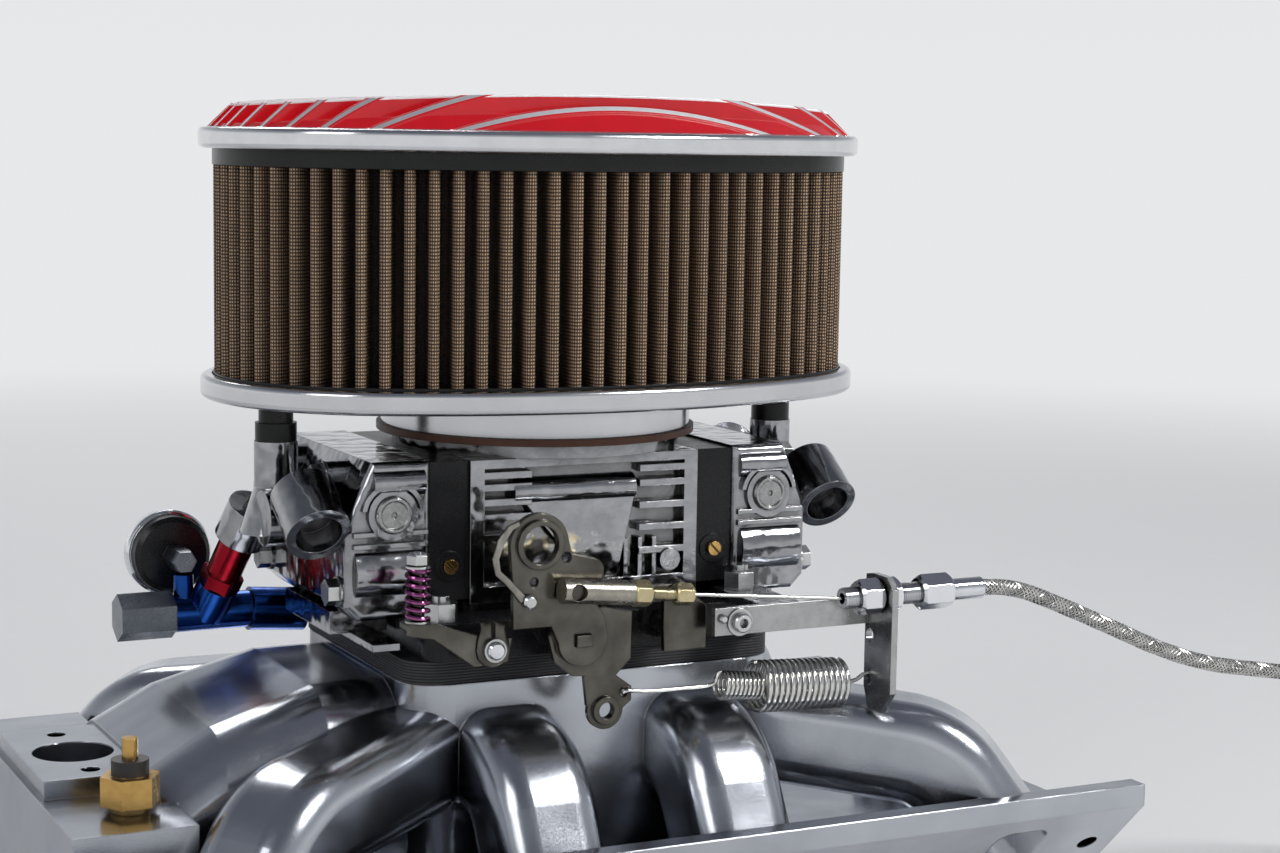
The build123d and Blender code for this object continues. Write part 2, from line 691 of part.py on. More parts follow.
def return_spring():
    x0, x1 = 58.0, 99.5
    solid = coil_sleeve((x0, spring_y, spring_z), (x1, spring_y, hook_z), 11.5, 8.5, 15)
    solid += rod((x1 - 1, spring_y, hook_z), (x1 + 1, spring_y, hook_z), 10.0)
    return solid + rod((x1, spring_y, hook_z), (leg_x - 3, spring_y, hook_z), 1.0)


def spring_hook():
    x0, x1 = 40.8, 59.5
    z = spring_z + 2
    hole_x, hole_z = prim_x + spring_hole[0], shaft_abs_z + spring_hole[1]
    solid = coil_sleeve((x0, spring_y, z), (x1, spring_y, spring_z), 6.5, 3.5, 9)
    solid += rod((x0 - 1, spring_y, z), (x0 + 1, spring_y, z), 6.0)
    return solid + rod((hole_x + 6, spring_y, hole_z), (x0, spring_y, z), wire_r)


# Accelerator pump arm at the front
pump_pivot = (-57.0, shaft_abs_z - 5)


def pump_arm():
    x, z = pump_pivot
    y0, y1 = -84.0, -87.0
    outline = [(x - 6, z + 6), (x - 25, z + 12.5), (x - 37, z + 12.5), (x - 37, z + 8),
               (x - 26, z + 6), (x - 8, z - 7), (x + 7, z - 6), (x + 9, z + 4)]
    solid = slab(outline, y0, y1)
    solid += block(x - 37, x - 25, y1, -76, z + 10, z + 12.5)
    return solid - cross_rod(x, z, y0 + 1, y1 - 1, 3.0 + fit_gap)


def pump_spring():
    x, z = pump_pivot
    seat, top = (x - 31, -81, z + 12.5), (x - 31, -81, z + 36)
    solid = rod(seat, top, 3.2) + coil_sleeve(seat, top, 5.5, 3.0, 7)
    return solid + hex_rod(top, (x - 31, -81, z + 42), 8.5)


def pump_pin():
    x, z = pump_pivot
    return cross_rod(x, z, -stud_dy / 2 - 9, -88, 3.0) + cross_rod(x, z, -87.5, -91, 5.0)


# Fuel inlet
tee = (-stud_dx / 2 - 64.55, 62.0, 139.0)
inlet = (-stud_dx / 2 - 55.05, 41.0, 176.0)
tee_face = tee[0] - 16.0      # the hose nut's seat
gauge_x = tee[0] - 10.5


def inlet_way():
    return (Vector(*tee) - Vector(*inlet)).normalized()


def red_fitting():
    a, way = Vector(*inlet), inlet_way()
    return rod(tuple(a), tuple(a + way * 20), 8.0) + hex_rod(tuple(a + way * 20), tuple(a + way * 27), 17.0)


def fuel_tee():
    a, b, way = Vector(*inlet), Vector(*tee), inlet_way()
    solid = rod(tuple(a + way * 27), tuple(b), 9.5)
    shoulder = (tee[0] + 20, tee[1], tee[2])
    solid += rod((tee_face, tee[1], tee[2]), shoulder, 8.5)
    solid += rod((gauge_x, tee[1], tee[2]), (gauge_x, tee[1], 157), 4.5)
    return solid + rod(shoulder, (tee[0] + 46, tee[1], tee[2] - 2), 10.0)


def hose_nut():
    return hex_rod((tee_face - 25, tee[1], tee[2]), (tee_face, tee[1], tee[2]), 19.0)


def pressure_gauge():
    stem = block(gauge_x - 5.5, gauge_x + 4.5, tee[1] - 5, 78, 157, 168)
    return cross_rod(gauge_x, 163, 78, 92, 20.0) + stem


# Intake manifold
flange_mid_y = (flange_inner_y + flange_outer_y) / 2
flange_mid_z = flange_low_z + (flange_outer_y - flange_inner_y) / 2
slope = math.sqrt(0.5)


def head_flange(side):
    y0, y1 = flange_inner_y, flange_outer_y
    z0, z1 = flange_low_z, flange_low_z + y1 - y0
    t = flange_slab_t * math.sqrt(2)
    section = [(side * y0, z0), (side * y1, z1), (side * y1, z1 + t / 2), (side * (y1 - t / 2), z1 + t / 2),
               (side * (y0 - t / 2), z0 + t / 2)]
    face = make_face(Polyline(*section, close=True))
    plane = Plane(origin=(-flange_half_l, 0, 0), x_dir=(0, 1, 0), z_dir=(1, 0, 0))
    return extrude(plane * face, 2 * flange_half_l)


def flange_plane(x, side, inward):
    """Plane on a head flange's mating face, at the height of the ports."""
    y = flange_mid_y + port_up * slope
    z = flange_mid_z + port_up * slope
    return Plane(origin=(x, side * y, z), x_dir=(1, 0, 0), z_dir=(0, -side * inward, inward))


def runner_route(x_port, side):
    """Route of a runner in one upright plane: out of the tower, then down to its port."""
    end = flange_plane(x_port, side, 1).origin
    if abs(x_port) < tower_x:
        start = Vector(x_port, side * (tower_y - 16), pad_z - 32)
        knee = Vector(x_port, side * (flange_mid_y - 25), pad_z - 38)
    else:
        start = Vector(math.copysign(tower_x - 33, x_port), side * (tower_y - 34), pad_z - 30)
        knee = start + (end - start) * 0.776
        knee = Vector(knee.X, knee.Y, pad_z - 44)
    return start, knee, end, (end - knee).normalized()


def runner(x_port, side):
    start, knee, end, way = runner_route(x_port, side)
    path = FilletPolyline(start, knee, end + way * 25, radius=runner_bend_r)
    first = (knee - start).normalized()
    across = first.cross(Vector(0, 0, 1)).normalized()
    section = RectangleRounded(runner_w, runner_w, runner_round)
    return sweep(Plane(origin=start, x_dir=across, z_dir=first) * section, path=path)


def port_hole(x_port, side):
    _, _, _, way = runner_route(x_port, side)
    mouth = flange_plane(x_port, side, 1) * Pos(0, 0, -1) * RectangleRounded(port_w, port_h, port_corner)
    return extrude(mouth, port_depth, dir=-way)


def hood():
    """Polished cover of the passages in front of the carburettor's pad."""
    sections = []
    for x, half, top in hood_rows:
        plane = Plane(origin=(x, 0, (top + valley_z) / 2), x_dir=(0, 1, 0), z_dir=(1, 0, 0))
        sections.append(plane * RectangleRounded(2 * half, top - valley_z, hood_corner))
    return loft(sections, ruled=True)


def intake_manifold():
    front_x, rear_x = -flange_half_l + 4, flange_half_l - 4
    floor_z = valley_z + valley_floor_t
    solid = plate(tower_x, tower_y, tower_corner, floor_z - 2, pad_z)
    solid += block(front_x + 31, rear_x - 31, -flange_inner_y - 9, flange_inner_y + 9, valley_z, floor_z)
    solid += hood()
    for side in (-1, 1):
        solid += head_flange(side)
        for x_port in port_x:
            solid += runner(x_port, side)
    solid += block(front_x, front_x + crossover_t, -100, 100, 0, crossover_h)
    solid += block(rear_x - rear_t, rear_x, -100, 100, 0, rear_h)
    distributor = Pos(distributor_x, 0, distributor_h / 2)
    solid += distributor * Cylinder(distributor_r + distributor_wall, distributor_h)
    boss_top = crossover_h + outlet_boss_h
    solid += block(outlet_x - 22, outlet_x + 22, -43, 43, crossover_h - 1, boss_top)
    for side in (-1, 1):
        face = flange_plane(0, side, -1)
        solid -= face * Pos(0, 0, 40) * Box(2 * flange_half_l + 2, 150, 80)
        for x_port in port_x:
            solid -= port_hole(x_port, side)
        for x in flange_bolts:
            solid -= flange_plane(x, side, 1) * Cylinder(flange_bolt_r, 2 * flange_slab_t + 8)
    solid -= distributor * Cylinder(distributor_r, distributor_h + 2)
    solid = drilled(solid, bore_places(), bore_r + 1, 50, pad_z + 1)
    solid = drilled(solid, stud_places(), stud_hole_r, pad_z - 16, pad_z + 1)
    solid = drilled(solid, [(outlet_x, 0)], outlet_r, boss_top - outlet_depth, boss_top + 1)
    bolts = [(outlet_x, -outlet_bolt_dy / 2), (outlet_x, outlet_bolt_dy / 2)]
    return drilled(solid, bolts, stud_r, boss_top - 12, boss_top + 1)


def temperature_sender():
    z = crossover_h
    at = Pos(sender_x, sender_y, z)
    solid = at * Pos(0, 0, 1.5) * Cylinder(8.0, 3.0) + at * Pos(0, 0, 3) * hex_prism(21.0, 12.0)
    solid += at * Pos(0, 0, 18.2) * Cylinder(7.5, 6.5)
    return solid + at * Pos(0, 0, 25.5) * Cylinder(3.2, 9.0)


parts = {
    "intake_manifold": intake_manifold(),
    "temperature_sender": temperature_sender(),
    "carb_gasket": carb_gasket(),
    "throttle_body": throttle_body(),
    "main_body": main_body(),
    "stud_nuts": stud_nuts(),
    "throttle_lever": throttle_lever(),
    "primary_shaft": primary_shaft(),
    "secondary_shaft": secondary_shaft(),
    "throttle_link": throttle_link(),
    "cable_barrel": cable_barrel(),
    "cable_wire": cable_wire(),
    "cable_bracket": cable_bracket(),
    "clamp_fitting": clamp_fitting(),
    "cable": cable(),
    "cable_end_fitting": cable_end_fitting(),
    "return_spring": return_spring(),
    "spring_hook": spring_hook(),
    "pump_arm": pump_arm(),
    "pump_spring": pump_spring(),
    "pump_pin": pump_pin(),
    "red_fitting": red_fitting(),
    "fuel_tee": fuel_tee(),
    "hose_nut": hose_nut(),
    "pressure_gauge": pressure_gauge(),
    "sealing_ring": sealing_ring(),
    "air_cleaner_base": air_cleaner_base(),
    "filter_element": filter_element(),
    "element_seal_bottom": element_seal(element_z),
    "element_seal_top": element_seal(element_z + element_h - seal_t),
    "air_cleaner_lid": air_cleaner_lid(),
    "centre_stud": centre_stud(),
}
for name, side in (("front", -1), ("rear", 1)):
    parts[f"metering_block_{name}"] = metering_block(side)
    parts[f"float_bowl_{name}"] = float_bowl(side)
    parts[f"sight_plugs_{name}"] = sight_plugs(side)
    parts[f"vent_cap_{name}"] = vent_cap(side)
    parts[f"mixture_screws_{name}"] = mixture_screws(side)
    parts[f"bowl_screws_{name}"] = bowl_screws(side)
    parts[f"pump_housing_{name}"] = pump_housing(side)

os.makedirs("parts", exist_ok=True)
for name, solid in parts.items():
    export_step(solid, f"parts/{name}.step")
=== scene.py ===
import bpy
import bmesh
import json
import math
from mathutils import Matrix, Vector


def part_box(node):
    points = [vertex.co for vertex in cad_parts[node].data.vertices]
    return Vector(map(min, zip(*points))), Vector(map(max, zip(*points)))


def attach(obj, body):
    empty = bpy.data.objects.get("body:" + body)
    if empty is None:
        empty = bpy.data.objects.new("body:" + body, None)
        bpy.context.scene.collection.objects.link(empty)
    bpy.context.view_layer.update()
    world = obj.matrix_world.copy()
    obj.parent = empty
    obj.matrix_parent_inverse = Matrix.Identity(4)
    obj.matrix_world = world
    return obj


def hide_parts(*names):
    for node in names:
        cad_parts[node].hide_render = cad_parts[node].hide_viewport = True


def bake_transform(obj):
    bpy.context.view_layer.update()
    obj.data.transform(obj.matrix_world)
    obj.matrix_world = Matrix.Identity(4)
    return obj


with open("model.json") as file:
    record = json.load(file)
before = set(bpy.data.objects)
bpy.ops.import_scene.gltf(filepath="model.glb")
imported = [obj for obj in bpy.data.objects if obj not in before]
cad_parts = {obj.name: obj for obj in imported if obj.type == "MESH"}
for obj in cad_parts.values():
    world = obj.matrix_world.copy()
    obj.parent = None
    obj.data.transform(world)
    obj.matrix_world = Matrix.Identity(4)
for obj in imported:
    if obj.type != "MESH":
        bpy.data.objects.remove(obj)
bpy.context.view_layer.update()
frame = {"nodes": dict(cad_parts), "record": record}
scene = bpy.context.scene
scene.view_settings.view_transform = "Standard"


# A socket that can be used in sums, in a material or in a node pattern
class Signal:
    def __init__(self, wiring, socket):
        self.wiring = wiring
        self.socket = socket

    def maths(self, operation, first, second=0.0):
        return self.wiring.add("ShaderNodeMath", {"operation": operation}, {0: first, 1: second})

    def __add__(self, other):
        return self.maths("ADD", self, other)

    __radd__ = __add__

    def __sub__(self, other):
        return self.maths("SUBTRACT", self, other)

    def __rsub__(self, other):
        return self.maths("SUBTRACT", other, self)

    def __mul__(self, other):
        return self.maths("MULTIPLY", self, other)

    __rmul__ = __mul__

    def __truediv__(self, other):
        return self.maths("DIVIDE", self, other)

    def above(self, level):
        return self.maths("GREATER_THAN", self, level)

    def below(self, level):
        return self.maths("LESS_THAN", self, level)

    def between(self, low, high):
        return self.above(low) * self.below(high)

    def size(self):
        return self.maths("ABSOLUTE", self)

    def wave(self):                            # sine of an angle in radians
        return self.maths("SINE", self)

    def repeat(self, period):                  # distance from the middle of the nearest repeat
        return (self.maths("FLOORED_MODULO", self, period) - period / 2).size()

    def clear(self):                           # kept between 0 and 1
        return self.wiring.add("ShaderNodeClamp", {}, {0: self})

    def beside(self, output):                  # another output of the same node
        return Signal(self.wiring, self.socket.node.outputs[output])


class Wiring:
    def __init__(self, tree):
        self.tree = tree

    def link(self, signal, node, key):
        self.tree.links.new(signal.socket, node.inputs[key])

    def add(self, kind, settings=None, values=None, output=0):
        made = self.tree.nodes.new(kind)
        settings = dict(settings or {})
        stops = settings.pop("stops", None)
        for key, value in settings.items():
            setattr(made, key, value)
        if stops:
            ramp = made.color_ramp
            while len(ramp.elements) < len(stops):
                ramp.elements.new(1.0)
            for element, (place, colour) in zip(ramp.elements, stops):
                element.position = place
                element.color = colour
        for key, value in (values or {}).items():
            if isinstance(value, Signal):
                self.link(value, made, key)
            else:
                made.inputs[key].default_value = value
        return Signal(self, made.outputs[output])

    def axes(self, vector):
        made = self.tree.nodes.new("ShaderNodeSeparateXYZ")
        self.link(vector, made, 0)
        return [Signal(self, made.outputs[i]) for i in range(3)]

    def vector(self, x, y, z):
        return self.add("ShaderNodeCombineXYZ", {}, {0: x, 1: y, 2: z})


class Finish(Wiring):
    def __init__(self, name, **fixed):
        self.material = bpy.data.materials.new(name)
        self.material.use_nodes = True
        super().__init__(self.material.node_tree)
        self.shader = self.tree.nodes["Principled BSDF"]
        for socket, value in fixed.items():
            self.shader.inputs[socket.replace("_", " ")].default_value = value

    def place(self, kind="Object"):
        return self.add("ShaderNodeTexCoord", output=kind)

    def stretched(self, scale):
        return self.add("ShaderNodeMapping", {}, {"Vector": self.place(), "Scale": scale})

    def attribute(self, name):
        return self.add("ShaderNodeAttribute", {"attribute_name": name}, output="Fac")

    def noise(self, size, detail, vector=None):
        values = {"Vector": vector or self.place(), "Scale": 1.0 / size, "Detail": detail, "Roughness": 0.55}
        return self.add("ShaderNodeTexNoise", {}, values)

    def tint(self, factor, first, second):
        values = {0: factor, 6: first, 7: second}
        return self.add("ShaderNodeMix", {"data_type": "RGBA"}, values, output=2)

    def fouled(self, tone, reach, gain):       # tone with painted shade, darker where ambient occlusion finds a corner
        openness = self.add("ShaderNodeAmbientOcclusion", {"samples": 6}, {"Distance": reach}, output="AO")
        depth = ((1 - openness) * gain - paintedShade["clear"]).clear()
        return self.tint(depth, tone, shade(*paintedShade["tone"]))

    def softEdge(self, radius):
        return self.add("ShaderNodeBevel", {"samples": 4}, {"Radius": radius})

    def bump(self, height, depth, strength=1.0, base=None):
        values = {"Height": height, "Distance": depth, "Strength": strength}
        if base:
            values["Normal"] = base
        return self.add("ShaderNodeBump", {}, values)

    def feed(self, socket, signal):
        self.link(signal, self.shader, socket)


def shade(red, green, blue):
    return (red, green, blue, 1.0)


paintedShade = {"tone": (0.035, 0.032, 0.030), "clear": 0.15, "gain": 1.6}    # painted shade that darkens the corners of bare metal


def metalFinish(name, light, dark, rough, grain=0.0006, wave=0.010, roll=0.00015, edge=0.0005, reach=0.006,
                shadeGain=0.9):
    finish = Finish(name, Metallic=1.0)
    grainDepth, cloudSwing, grainSwing = 0.00002, rough * 0.8, rough * 0.6
    cloud = finish.noise(wave, 4.0)
    fine = finish.noise(grain, 2.0)
    tone = finish.tint(cloud, shade(*light), shade(*dark))
    # painted shade: the base colour grows darker in corners found by ambient occlusion
    finish.feed("Base Color", finish.fouled(tone, reach, shadeGain * paintedShade["gain"]))
    finish.feed("Roughness", rough + (cloud - 0.5) * cloudSwing + (fine - 0.5) * grainSwing)
    base = finish.softEdge(edge) if edge else None
    rolling = finish.bump(finish.noise(wave, 1.0), roll, 1.0, base)
    finish.feed("Normal", finish.bump(fine, grainDepth, 0.6, rolling))
    return finish.material


def plainFinish(name, light, dark, rough):
    finish = Finish(name, Specular_IOR_Level=0.3)
    grain, blotch, depth, edge = 0.0008, 0.016, 0.00004, 0.0005
    grainSwing, blotchSwing = 0.15, 0.2
    fine = finish.noise(grain, 3.0)
    wide = finish.noise(blotch, 3.0)
    finish.feed("Base Color", finish.tint(wide, shade(*light), shade(*dark)))
    finish.feed("Roughness", rough + (fine - 0.5) * grainSwing + (wide - 0.5) * blotchSwing)
    finish.feed("Normal", finish.bump(fine, depth, 0.5, finish.softEdge(edge)))
    return finish.material


gasket = {
    "sheet": 0.00125,
    "wander": 0.0004,                          # of the seams, over the width below
    "wanderWidth": 0.02,
    "seamDepth": 0.0003,
    "sharpness": 3.0,
    "grain": 0.0006,
}


def layeredFinish():                           # thin sheets of a thick gasket
    finish = Finish("laminatedGasket", Specular_IOR_Level=0.35)
    _, _, height = finish.axes(finish.place())
    wander = finish.noise(gasket["wanderWidth"], 2.0, finish.stretched((1, 1, 0.2))) * gasket["wander"]
    seam = 1 - ((height + wander).repeat(gasket["sheet"]) / (gasket["sheet"] / 2))
    fine = finish.noise(gasket["grain"], 3.0, finish.stretched((1, 1, 6)))
    dark = seam.maths("POWER", seam.clear(), gasket["sharpness"])
    finish.feed("Base Color", finish.tint(dark, shade(0.045, 0.045, 0.048), shade(0.006, 0.006, 0.006)))
    finish.feed("Roughness", 0.30 + fine * 0.35)
    finish.feed("Normal", finish.bump(fine * 0.4 - dark, gasket["seamDepth"], 1.0))
    return finish.material


lid = {
    "rimTop": 0.3597,                          # bare metal below this height
    "top": 0.375,
    "arch": 0.2941,                            # how the fins' tops fall towards the ends
    "finPitch": 0.012,
    "finReach": 0.00156,                       # half a fin, a little proud of its sides
    "bareWidth": 0.0017,
    "bareEdge": 0.0010,
    "wornEdge": 0.0004,
    "flat": 0.35,                              # normals above this count as a crest
    "wear": 0.004,                             # width of worn spots
    "cloud": 0.015,
    "grain": 0.0005,
    "soften": 0.0007,                          # radius of the edges
    "roll": 0.00012,
    "grainDepth": 0.00002,
    "coat": 0.4,
}


def lidFinish():                               # red enamel, bare along the fins and the rim
    finish = Finish("finnedLid", Coat_Roughness=0.10, Specular_IOR_Level=0.35)
    x, y, z = finish.axes(finish.place())
    _, _, upward = finish.axes(finish.place("Normal"))
    wear = finish.noise(lid["wear"], 3.0)
    halfPitch = lid["finPitch"] / 2
    crest = y.repeat(lid["finPitch"]).above(halfPitch - lid["bareWidth"] / 2)
    side = y.repeat(lid["finPitch"]).above(halfPitch - lid["finReach"])
    ridge = lid["top"] - x * x * lid["arch"]
    worn = (wear - 0.5) * lid["wornEdge"]
    edge = z.above(ridge - lid["bareEdge"] + worn) * upward.below(lid["flat"])
    rim = z.below(lid["rimTop"])
    bare = (rim + crest * upward.above(lid["flat"]) + side * edge).clear()
    cloud = finish.noise(lid["cloud"], 4.0)
    fine = finish.noise(lid["grain"], 2.0, finish.stretched((0.25, 1, 1)))
    red = finish.tint(cloud, shade(0.66, 0.004, 0.012), shade(0.50, 0.003, 0.009))
    metal = finish.tint(cloud * rim, shade(0.80, 0.80, 0.81), shade(0.60, 0.61, 0.63))
    finish.feed("Base Color", finish.tint(bare, red, metal))
    finish.feed("Metallic", bare)
    finish.feed("Roughness", 0.30 + (bare - rim) * 0.20 - rim * 0.14 + (wear - 0.5) * 0.10)
    finish.feed("Coat Weight", (1 - bare) * lid["coat"])
    rolling = finish.bump(cloud, lid["roll"], 1.0, finish.softEdge(lid["soften"]))
    finish.feed("Normal", finish.bump(fine, lid["grainDepth"], 0.5, rolling))
    return finish.material


weave = {
    "wide": 0.00122,
    "tall": 0.00145,
    "depth": 0.0003,
    "wander": 0.0003,                          # of the wires, over the width below
    "wanderWidth": 0.006,
    "fade": (1.25, 1.5),                       # from a wire into the hole beside it
    "stain": 0.010,                            # widths of stains and specks
    "speck": 0.0009,
    "shadow": (1.25, 0.12),                    # how dark the folds grow, and from where
}


def gauzeFinish():                             # wire cloth over oiled cotton
    finish = Finish("cottonGauze", Roughness=0.6)
    across, upward, _ = finish.axes(finish.place("UV"))
    sink = finish.attribute("sink")
    wander = finish.noise(weave["wanderWidth"], 2.0) * weave["wander"]
    ridgeX = (across + wander).repeat(weave["wide"]) / (weave["wide"] / 2)
    ridgeZ = (upward + wander).repeat(weave["tall"]) / (weave["tall"] / 2)
    full, fade = weave["fade"]
    knot = ((full - ridgeX * fade).clear() * (full - ridgeZ * fade).clear()).clear()
    stain = finish.noise(weave["stain"], 4.0)
    speck = finish.noise(weave["speck"], 2.0)
    light = finish.tint(stain, shade(0.86, 0.58, 0.35), shade(0.56, 0.36, 0.21))
    ground = finish.tint(stain, shade(0.034, 0.018, 0.010), shade(0.016, 0.009, 0.006))
    sheet = finish.tint((knot * (0.65 + speck * 0.7)).clear(), ground, light)
    # painted shade: the cloth grows dark towards the bottoms of the folds
    darkening, shallow = weave["shadow"]
    foldShade = (sink * darkening - shallow).clear()
    finish.feed("Base Color", finish.tint(foldShade, sheet, shade(0.020, 0.012, 0.008)))
    finish.feed("Roughness", 0.75 - knot * 0.3)
    finish.feed("Normal", finish.bump(knot, weave["depth"], 1.0))
    return finish.material


sender = {
    "insulator": (0.1032, 0.1095),             # between these heights
    "cornerShading": 1.4,
    "corner": 0.004,
    "cloud": 0.006,
    "roll": 0.0001,
    "soften": 0.0004,
}


def senderFinish():                            # brass, with a dark insulator between
    finish = Finish("senderBrass")
    _, _, z = finish.axes(finish.place())
    dark = z.between(*sender["insulator"])
    cloud = finish.noise(sender["cloud"], 3.0)
    brass = finish.tint(cloud, shade(0.78, 0.50, 0.17), shade(0.48, 0.28, 0.08))
    # painted shade: the brass grows darker in its corners, found by ambient occlusion
    fouled = finish.fouled(brass, sender["corner"], sender["cornerShading"])
    finish.feed("Base Color", finish.tint(dark, fouled, shade(0.02, 0.018, 0.016)))
    finish.feed("Metallic", 1 - dark)
    finish.feed("Roughness", 0.20 + cloud * 0.12 + dark * 0.2)
    finish.feed("Normal", finish.bump(cloud, sender["roll"], 0.7, finish.softEdge(sender["soften"])))
    return finish.material


barrel = {"nutsFrom": -0.0056, "cloud": 0.004, "roll": 0.00015, "soften": 0.0004}


def barrelFinish():                            # grey steel body, yellow zinc nuts beyond
    finish = Finish("barrelSteel", Metallic=1.0)
    x, _, _ = finish.axes(finish.place())
    cloud = finish.noise(barrel["cloud"], 3.0)
    steel = finish.tint(cloud, shade(0.50, 0.47, 0.40), shade(0.26, 0.245, 0.21))
    yellow = finish.tint(cloud, shade(0.72, 0.62, 0.38), shade(0.46, 0.39, 0.22))
    finish.feed("Base Color", finish.tint(x.above(barrel["nutsFrom"]), steel, yellow))
    finish.feed("Roughness", 0.22 + cloud * 0.12)
    finish.feed("Normal", finish.bump(cloud, barrel["roll"], 0.8, finish.softEdge(barrel["soften"])))
    return finish.material


materials = {
    "polished_manifold": metalFinish("polishedManifold", (0.60, 0.62, 0.66), (0.38, 0.40, 0.44), 0.20,
                                     wave=0.035, roll=0.0009, grain=0.0010, edge=0.001, reach=0.016),
    "polished_casting": metalFinish("polishedCasting", (0.50, 0.50, 0.51), (0.22, 0.225, 0.24), 0.11,
                                    wave=0.010, roll=0.0007, reach=0.012),
    "brass": metalFinish("brassFinish", (0.80, 0.52, 0.19), (0.50, 0.31, 0.10), 0.20, edge=0.0003),
    "black_gasket": layeredFinish(),
    "black_anodised": plainFinish("blackAnodised", (0.010, 0.010, 0.011), (0.005, 0.005, 0.006), 0.28),
    "zinc_plate": metalFinish("zincPlate", (0.72, 0.73, 0.72), (0.52, 0.53, 0.52), 0.22,
                              edge=0.0003, reach=0.003),
    "dark_zinc": metalFinish("darkZinc", (0.230, 0.216, 0.184), (0.010, 0.010, 0.009), 0.22,
                             wave=0.016, roll=0.0010, edge=0.0009),
    "yellow_zinc": metalFinish("yellowZinc", (0.72, 0.64, 0.42), (0.40, 0.34, 0.20), 0.22, wave=0.004,
                               edge=0.0003, reach=0.003),
    "bright_wire": metalFinish("brightWire", (0.82, 0.81, 0.78), (0.62, 0.61, 0.58), 0.16,
                               wave=0.004, roll=0.00002, edge=0, reach=0.002, shadeGain=0.6),
    "chrome": metalFinish("chromePlate", (0.82, 0.83, 0.85), (0.70, 0.71, 0.74), 0.07,
                          roll=0.00006, reach=0.004),
    "steel_braid": metalFinish("steelBraid", (0.72, 0.71, 0.68), (0.50, 0.49, 0.47), 0.34,
                               wave=0.003, roll=0.00001, edge=0, reach=0.0009),
    "purple_spring": metalFinish("purpleLacquer", (0.50, 0.15, 0.36), (0.28, 0.07, 0.20), 0.14, wave=0.003,
                                 roll=0.00001, edge=0, reach=0.002),
    "red_anodised": metalFinish("redAnodised", (0.42, 0.012, 0.024), (0.22, 0.006, 0.014), 0.20),
    "blue_anodised": metalFinish("blueAnodised", (0.018, 0.095, 0.40), (0.010, 0.045, 0.21), 0.18),
    "grey_anodised": metalFinish("greyAnodised", (0.24, 0.26, 0.29), (0.14, 0.15, 0.17), 0.28),
    "brown_rubber": plainFinish("brownSealingRing", (0.12, 0.045, 0.022), (0.05, 0.018, 0.010), 0.45),
    "cotton_gauze": gauzeFinish(),
    "black_rubber": plainFinish("blackRubber", (0.009, 0.009, 0.009), (0.004, 0.004, 0.004), 0.30),
    "red_enamel": lidFinish(),
    "sight_glass": metalFinish("sightPlug", (0.46, 0.46, 0.45), (0.26, 0.26, 0.26), 0.26,
                               wave=0.003, reach=0.003),
}
bracketFinish = metalFinish("bracketPlate", (0.52, 0.52, 0.51), (0.34, 0.34, 0.34), 0.24, wave=0.006,
                            edge=0.0004, reach=0.005)
rimFinish = metalFinish("spunRim", (0.70, 0.70, 0.71), (0.52, 0.53, 0.55), 0.17, wave=0.03, roll=0.0001)
stripFinish = metalFinish("stripSteel", (0.46, 0.44, 0.38), (0.13, 0.125, 0.11), 0.18,
                          wave=0.006, roll=0.0006, reach=0.004)
special = {                                    # nodes that don't take their slot's finish
    "air_cleaner_base": rimFinish,
    "temperature_sender": senderFinish(),
    "cable_bracket": bracketFinish,
    "cable_barrel": barrelFinish(),
}
slotOf = {row["node"]: row["material_slot"] for row in frame["record"]["subparts"]}
for nodeName, nodeObject in frame["nodes"].items():
    nodeObject.data.materials.clear()
    nodeObject.data.materials.append(special.get(nodeName, materials[slotOf[nodeName]]))
print("finishes done")


def newObject(name, data):
    made = bpy.data.objects.new(name, data)
    scene.collection.objects.link(made)
    return made


# Camera, at the photograph's place
camera = {
    "place": (-0.44302, -0.99859, 0.36095),
    "ahead": (0.44180, 0.88878, -0.12202),
    "right": (0.8963, -0.4433, 0.0159),
    "lens": 67.95,
    "sensor": 36.0,
    "farthest": 50.0,
}


def makeCamera():
    data = bpy.data.cameras.new("camera")
    data.lens = camera["lens"]
    data.sensor_width = camera["sensor"]
    data.clip_end = camera["farthest"]
    made = newObject("camera", data)
    ahead = Vector(camera["ahead"]).normalized()
    right = Vector(camera["right"]).normalized()
    up = right.cross(ahead)
    turn = Matrix((right, up, -ahead)).transposed().to_4x4()
    made.matrix_world = Matrix.Translation(camera["place"]) @ turn
    scene.camera = made


makeCamera()


# Floor, backdrop and light
studio = {
    "floorSide": 16.0,
    "floorShade": (0.78, 0.78, 0.775),
    "floorStain": (0.5, 0.5, 0.5),
    "stain": 0.06,
    "stainWidth": 0.02,
    "horizon": (0.80, 0.81, 0.82),
    "fadeFrom": 0.9,                           # where the floor begins to turn into the backdrop
    "fadeOver": 1.8,
    "sky": [                                   # height and colour
        (0.00, (0.80, 0.81, 0.82)), (0.10, (0.78, 0.79, 0.81)), (0.26, (0.46, 0.48, 0.51)),
        (0.75, (0.14, 0.15, 0.18)),
    ],
    "lamps": [                                 # place, aim, width, watts
        ((1.25, -1.30, 1.80), (0.0, 0.0, 0.2), 0.50, 33.0),
        ((-1.6, -0.9, 1.3), (0.0, 0.0, 0.2), 0.9, 7.0),
        ((0.2, 1.7, 1.7), (0.0, 0.0, 0.2), 1.0, 15.0),
    ],
}


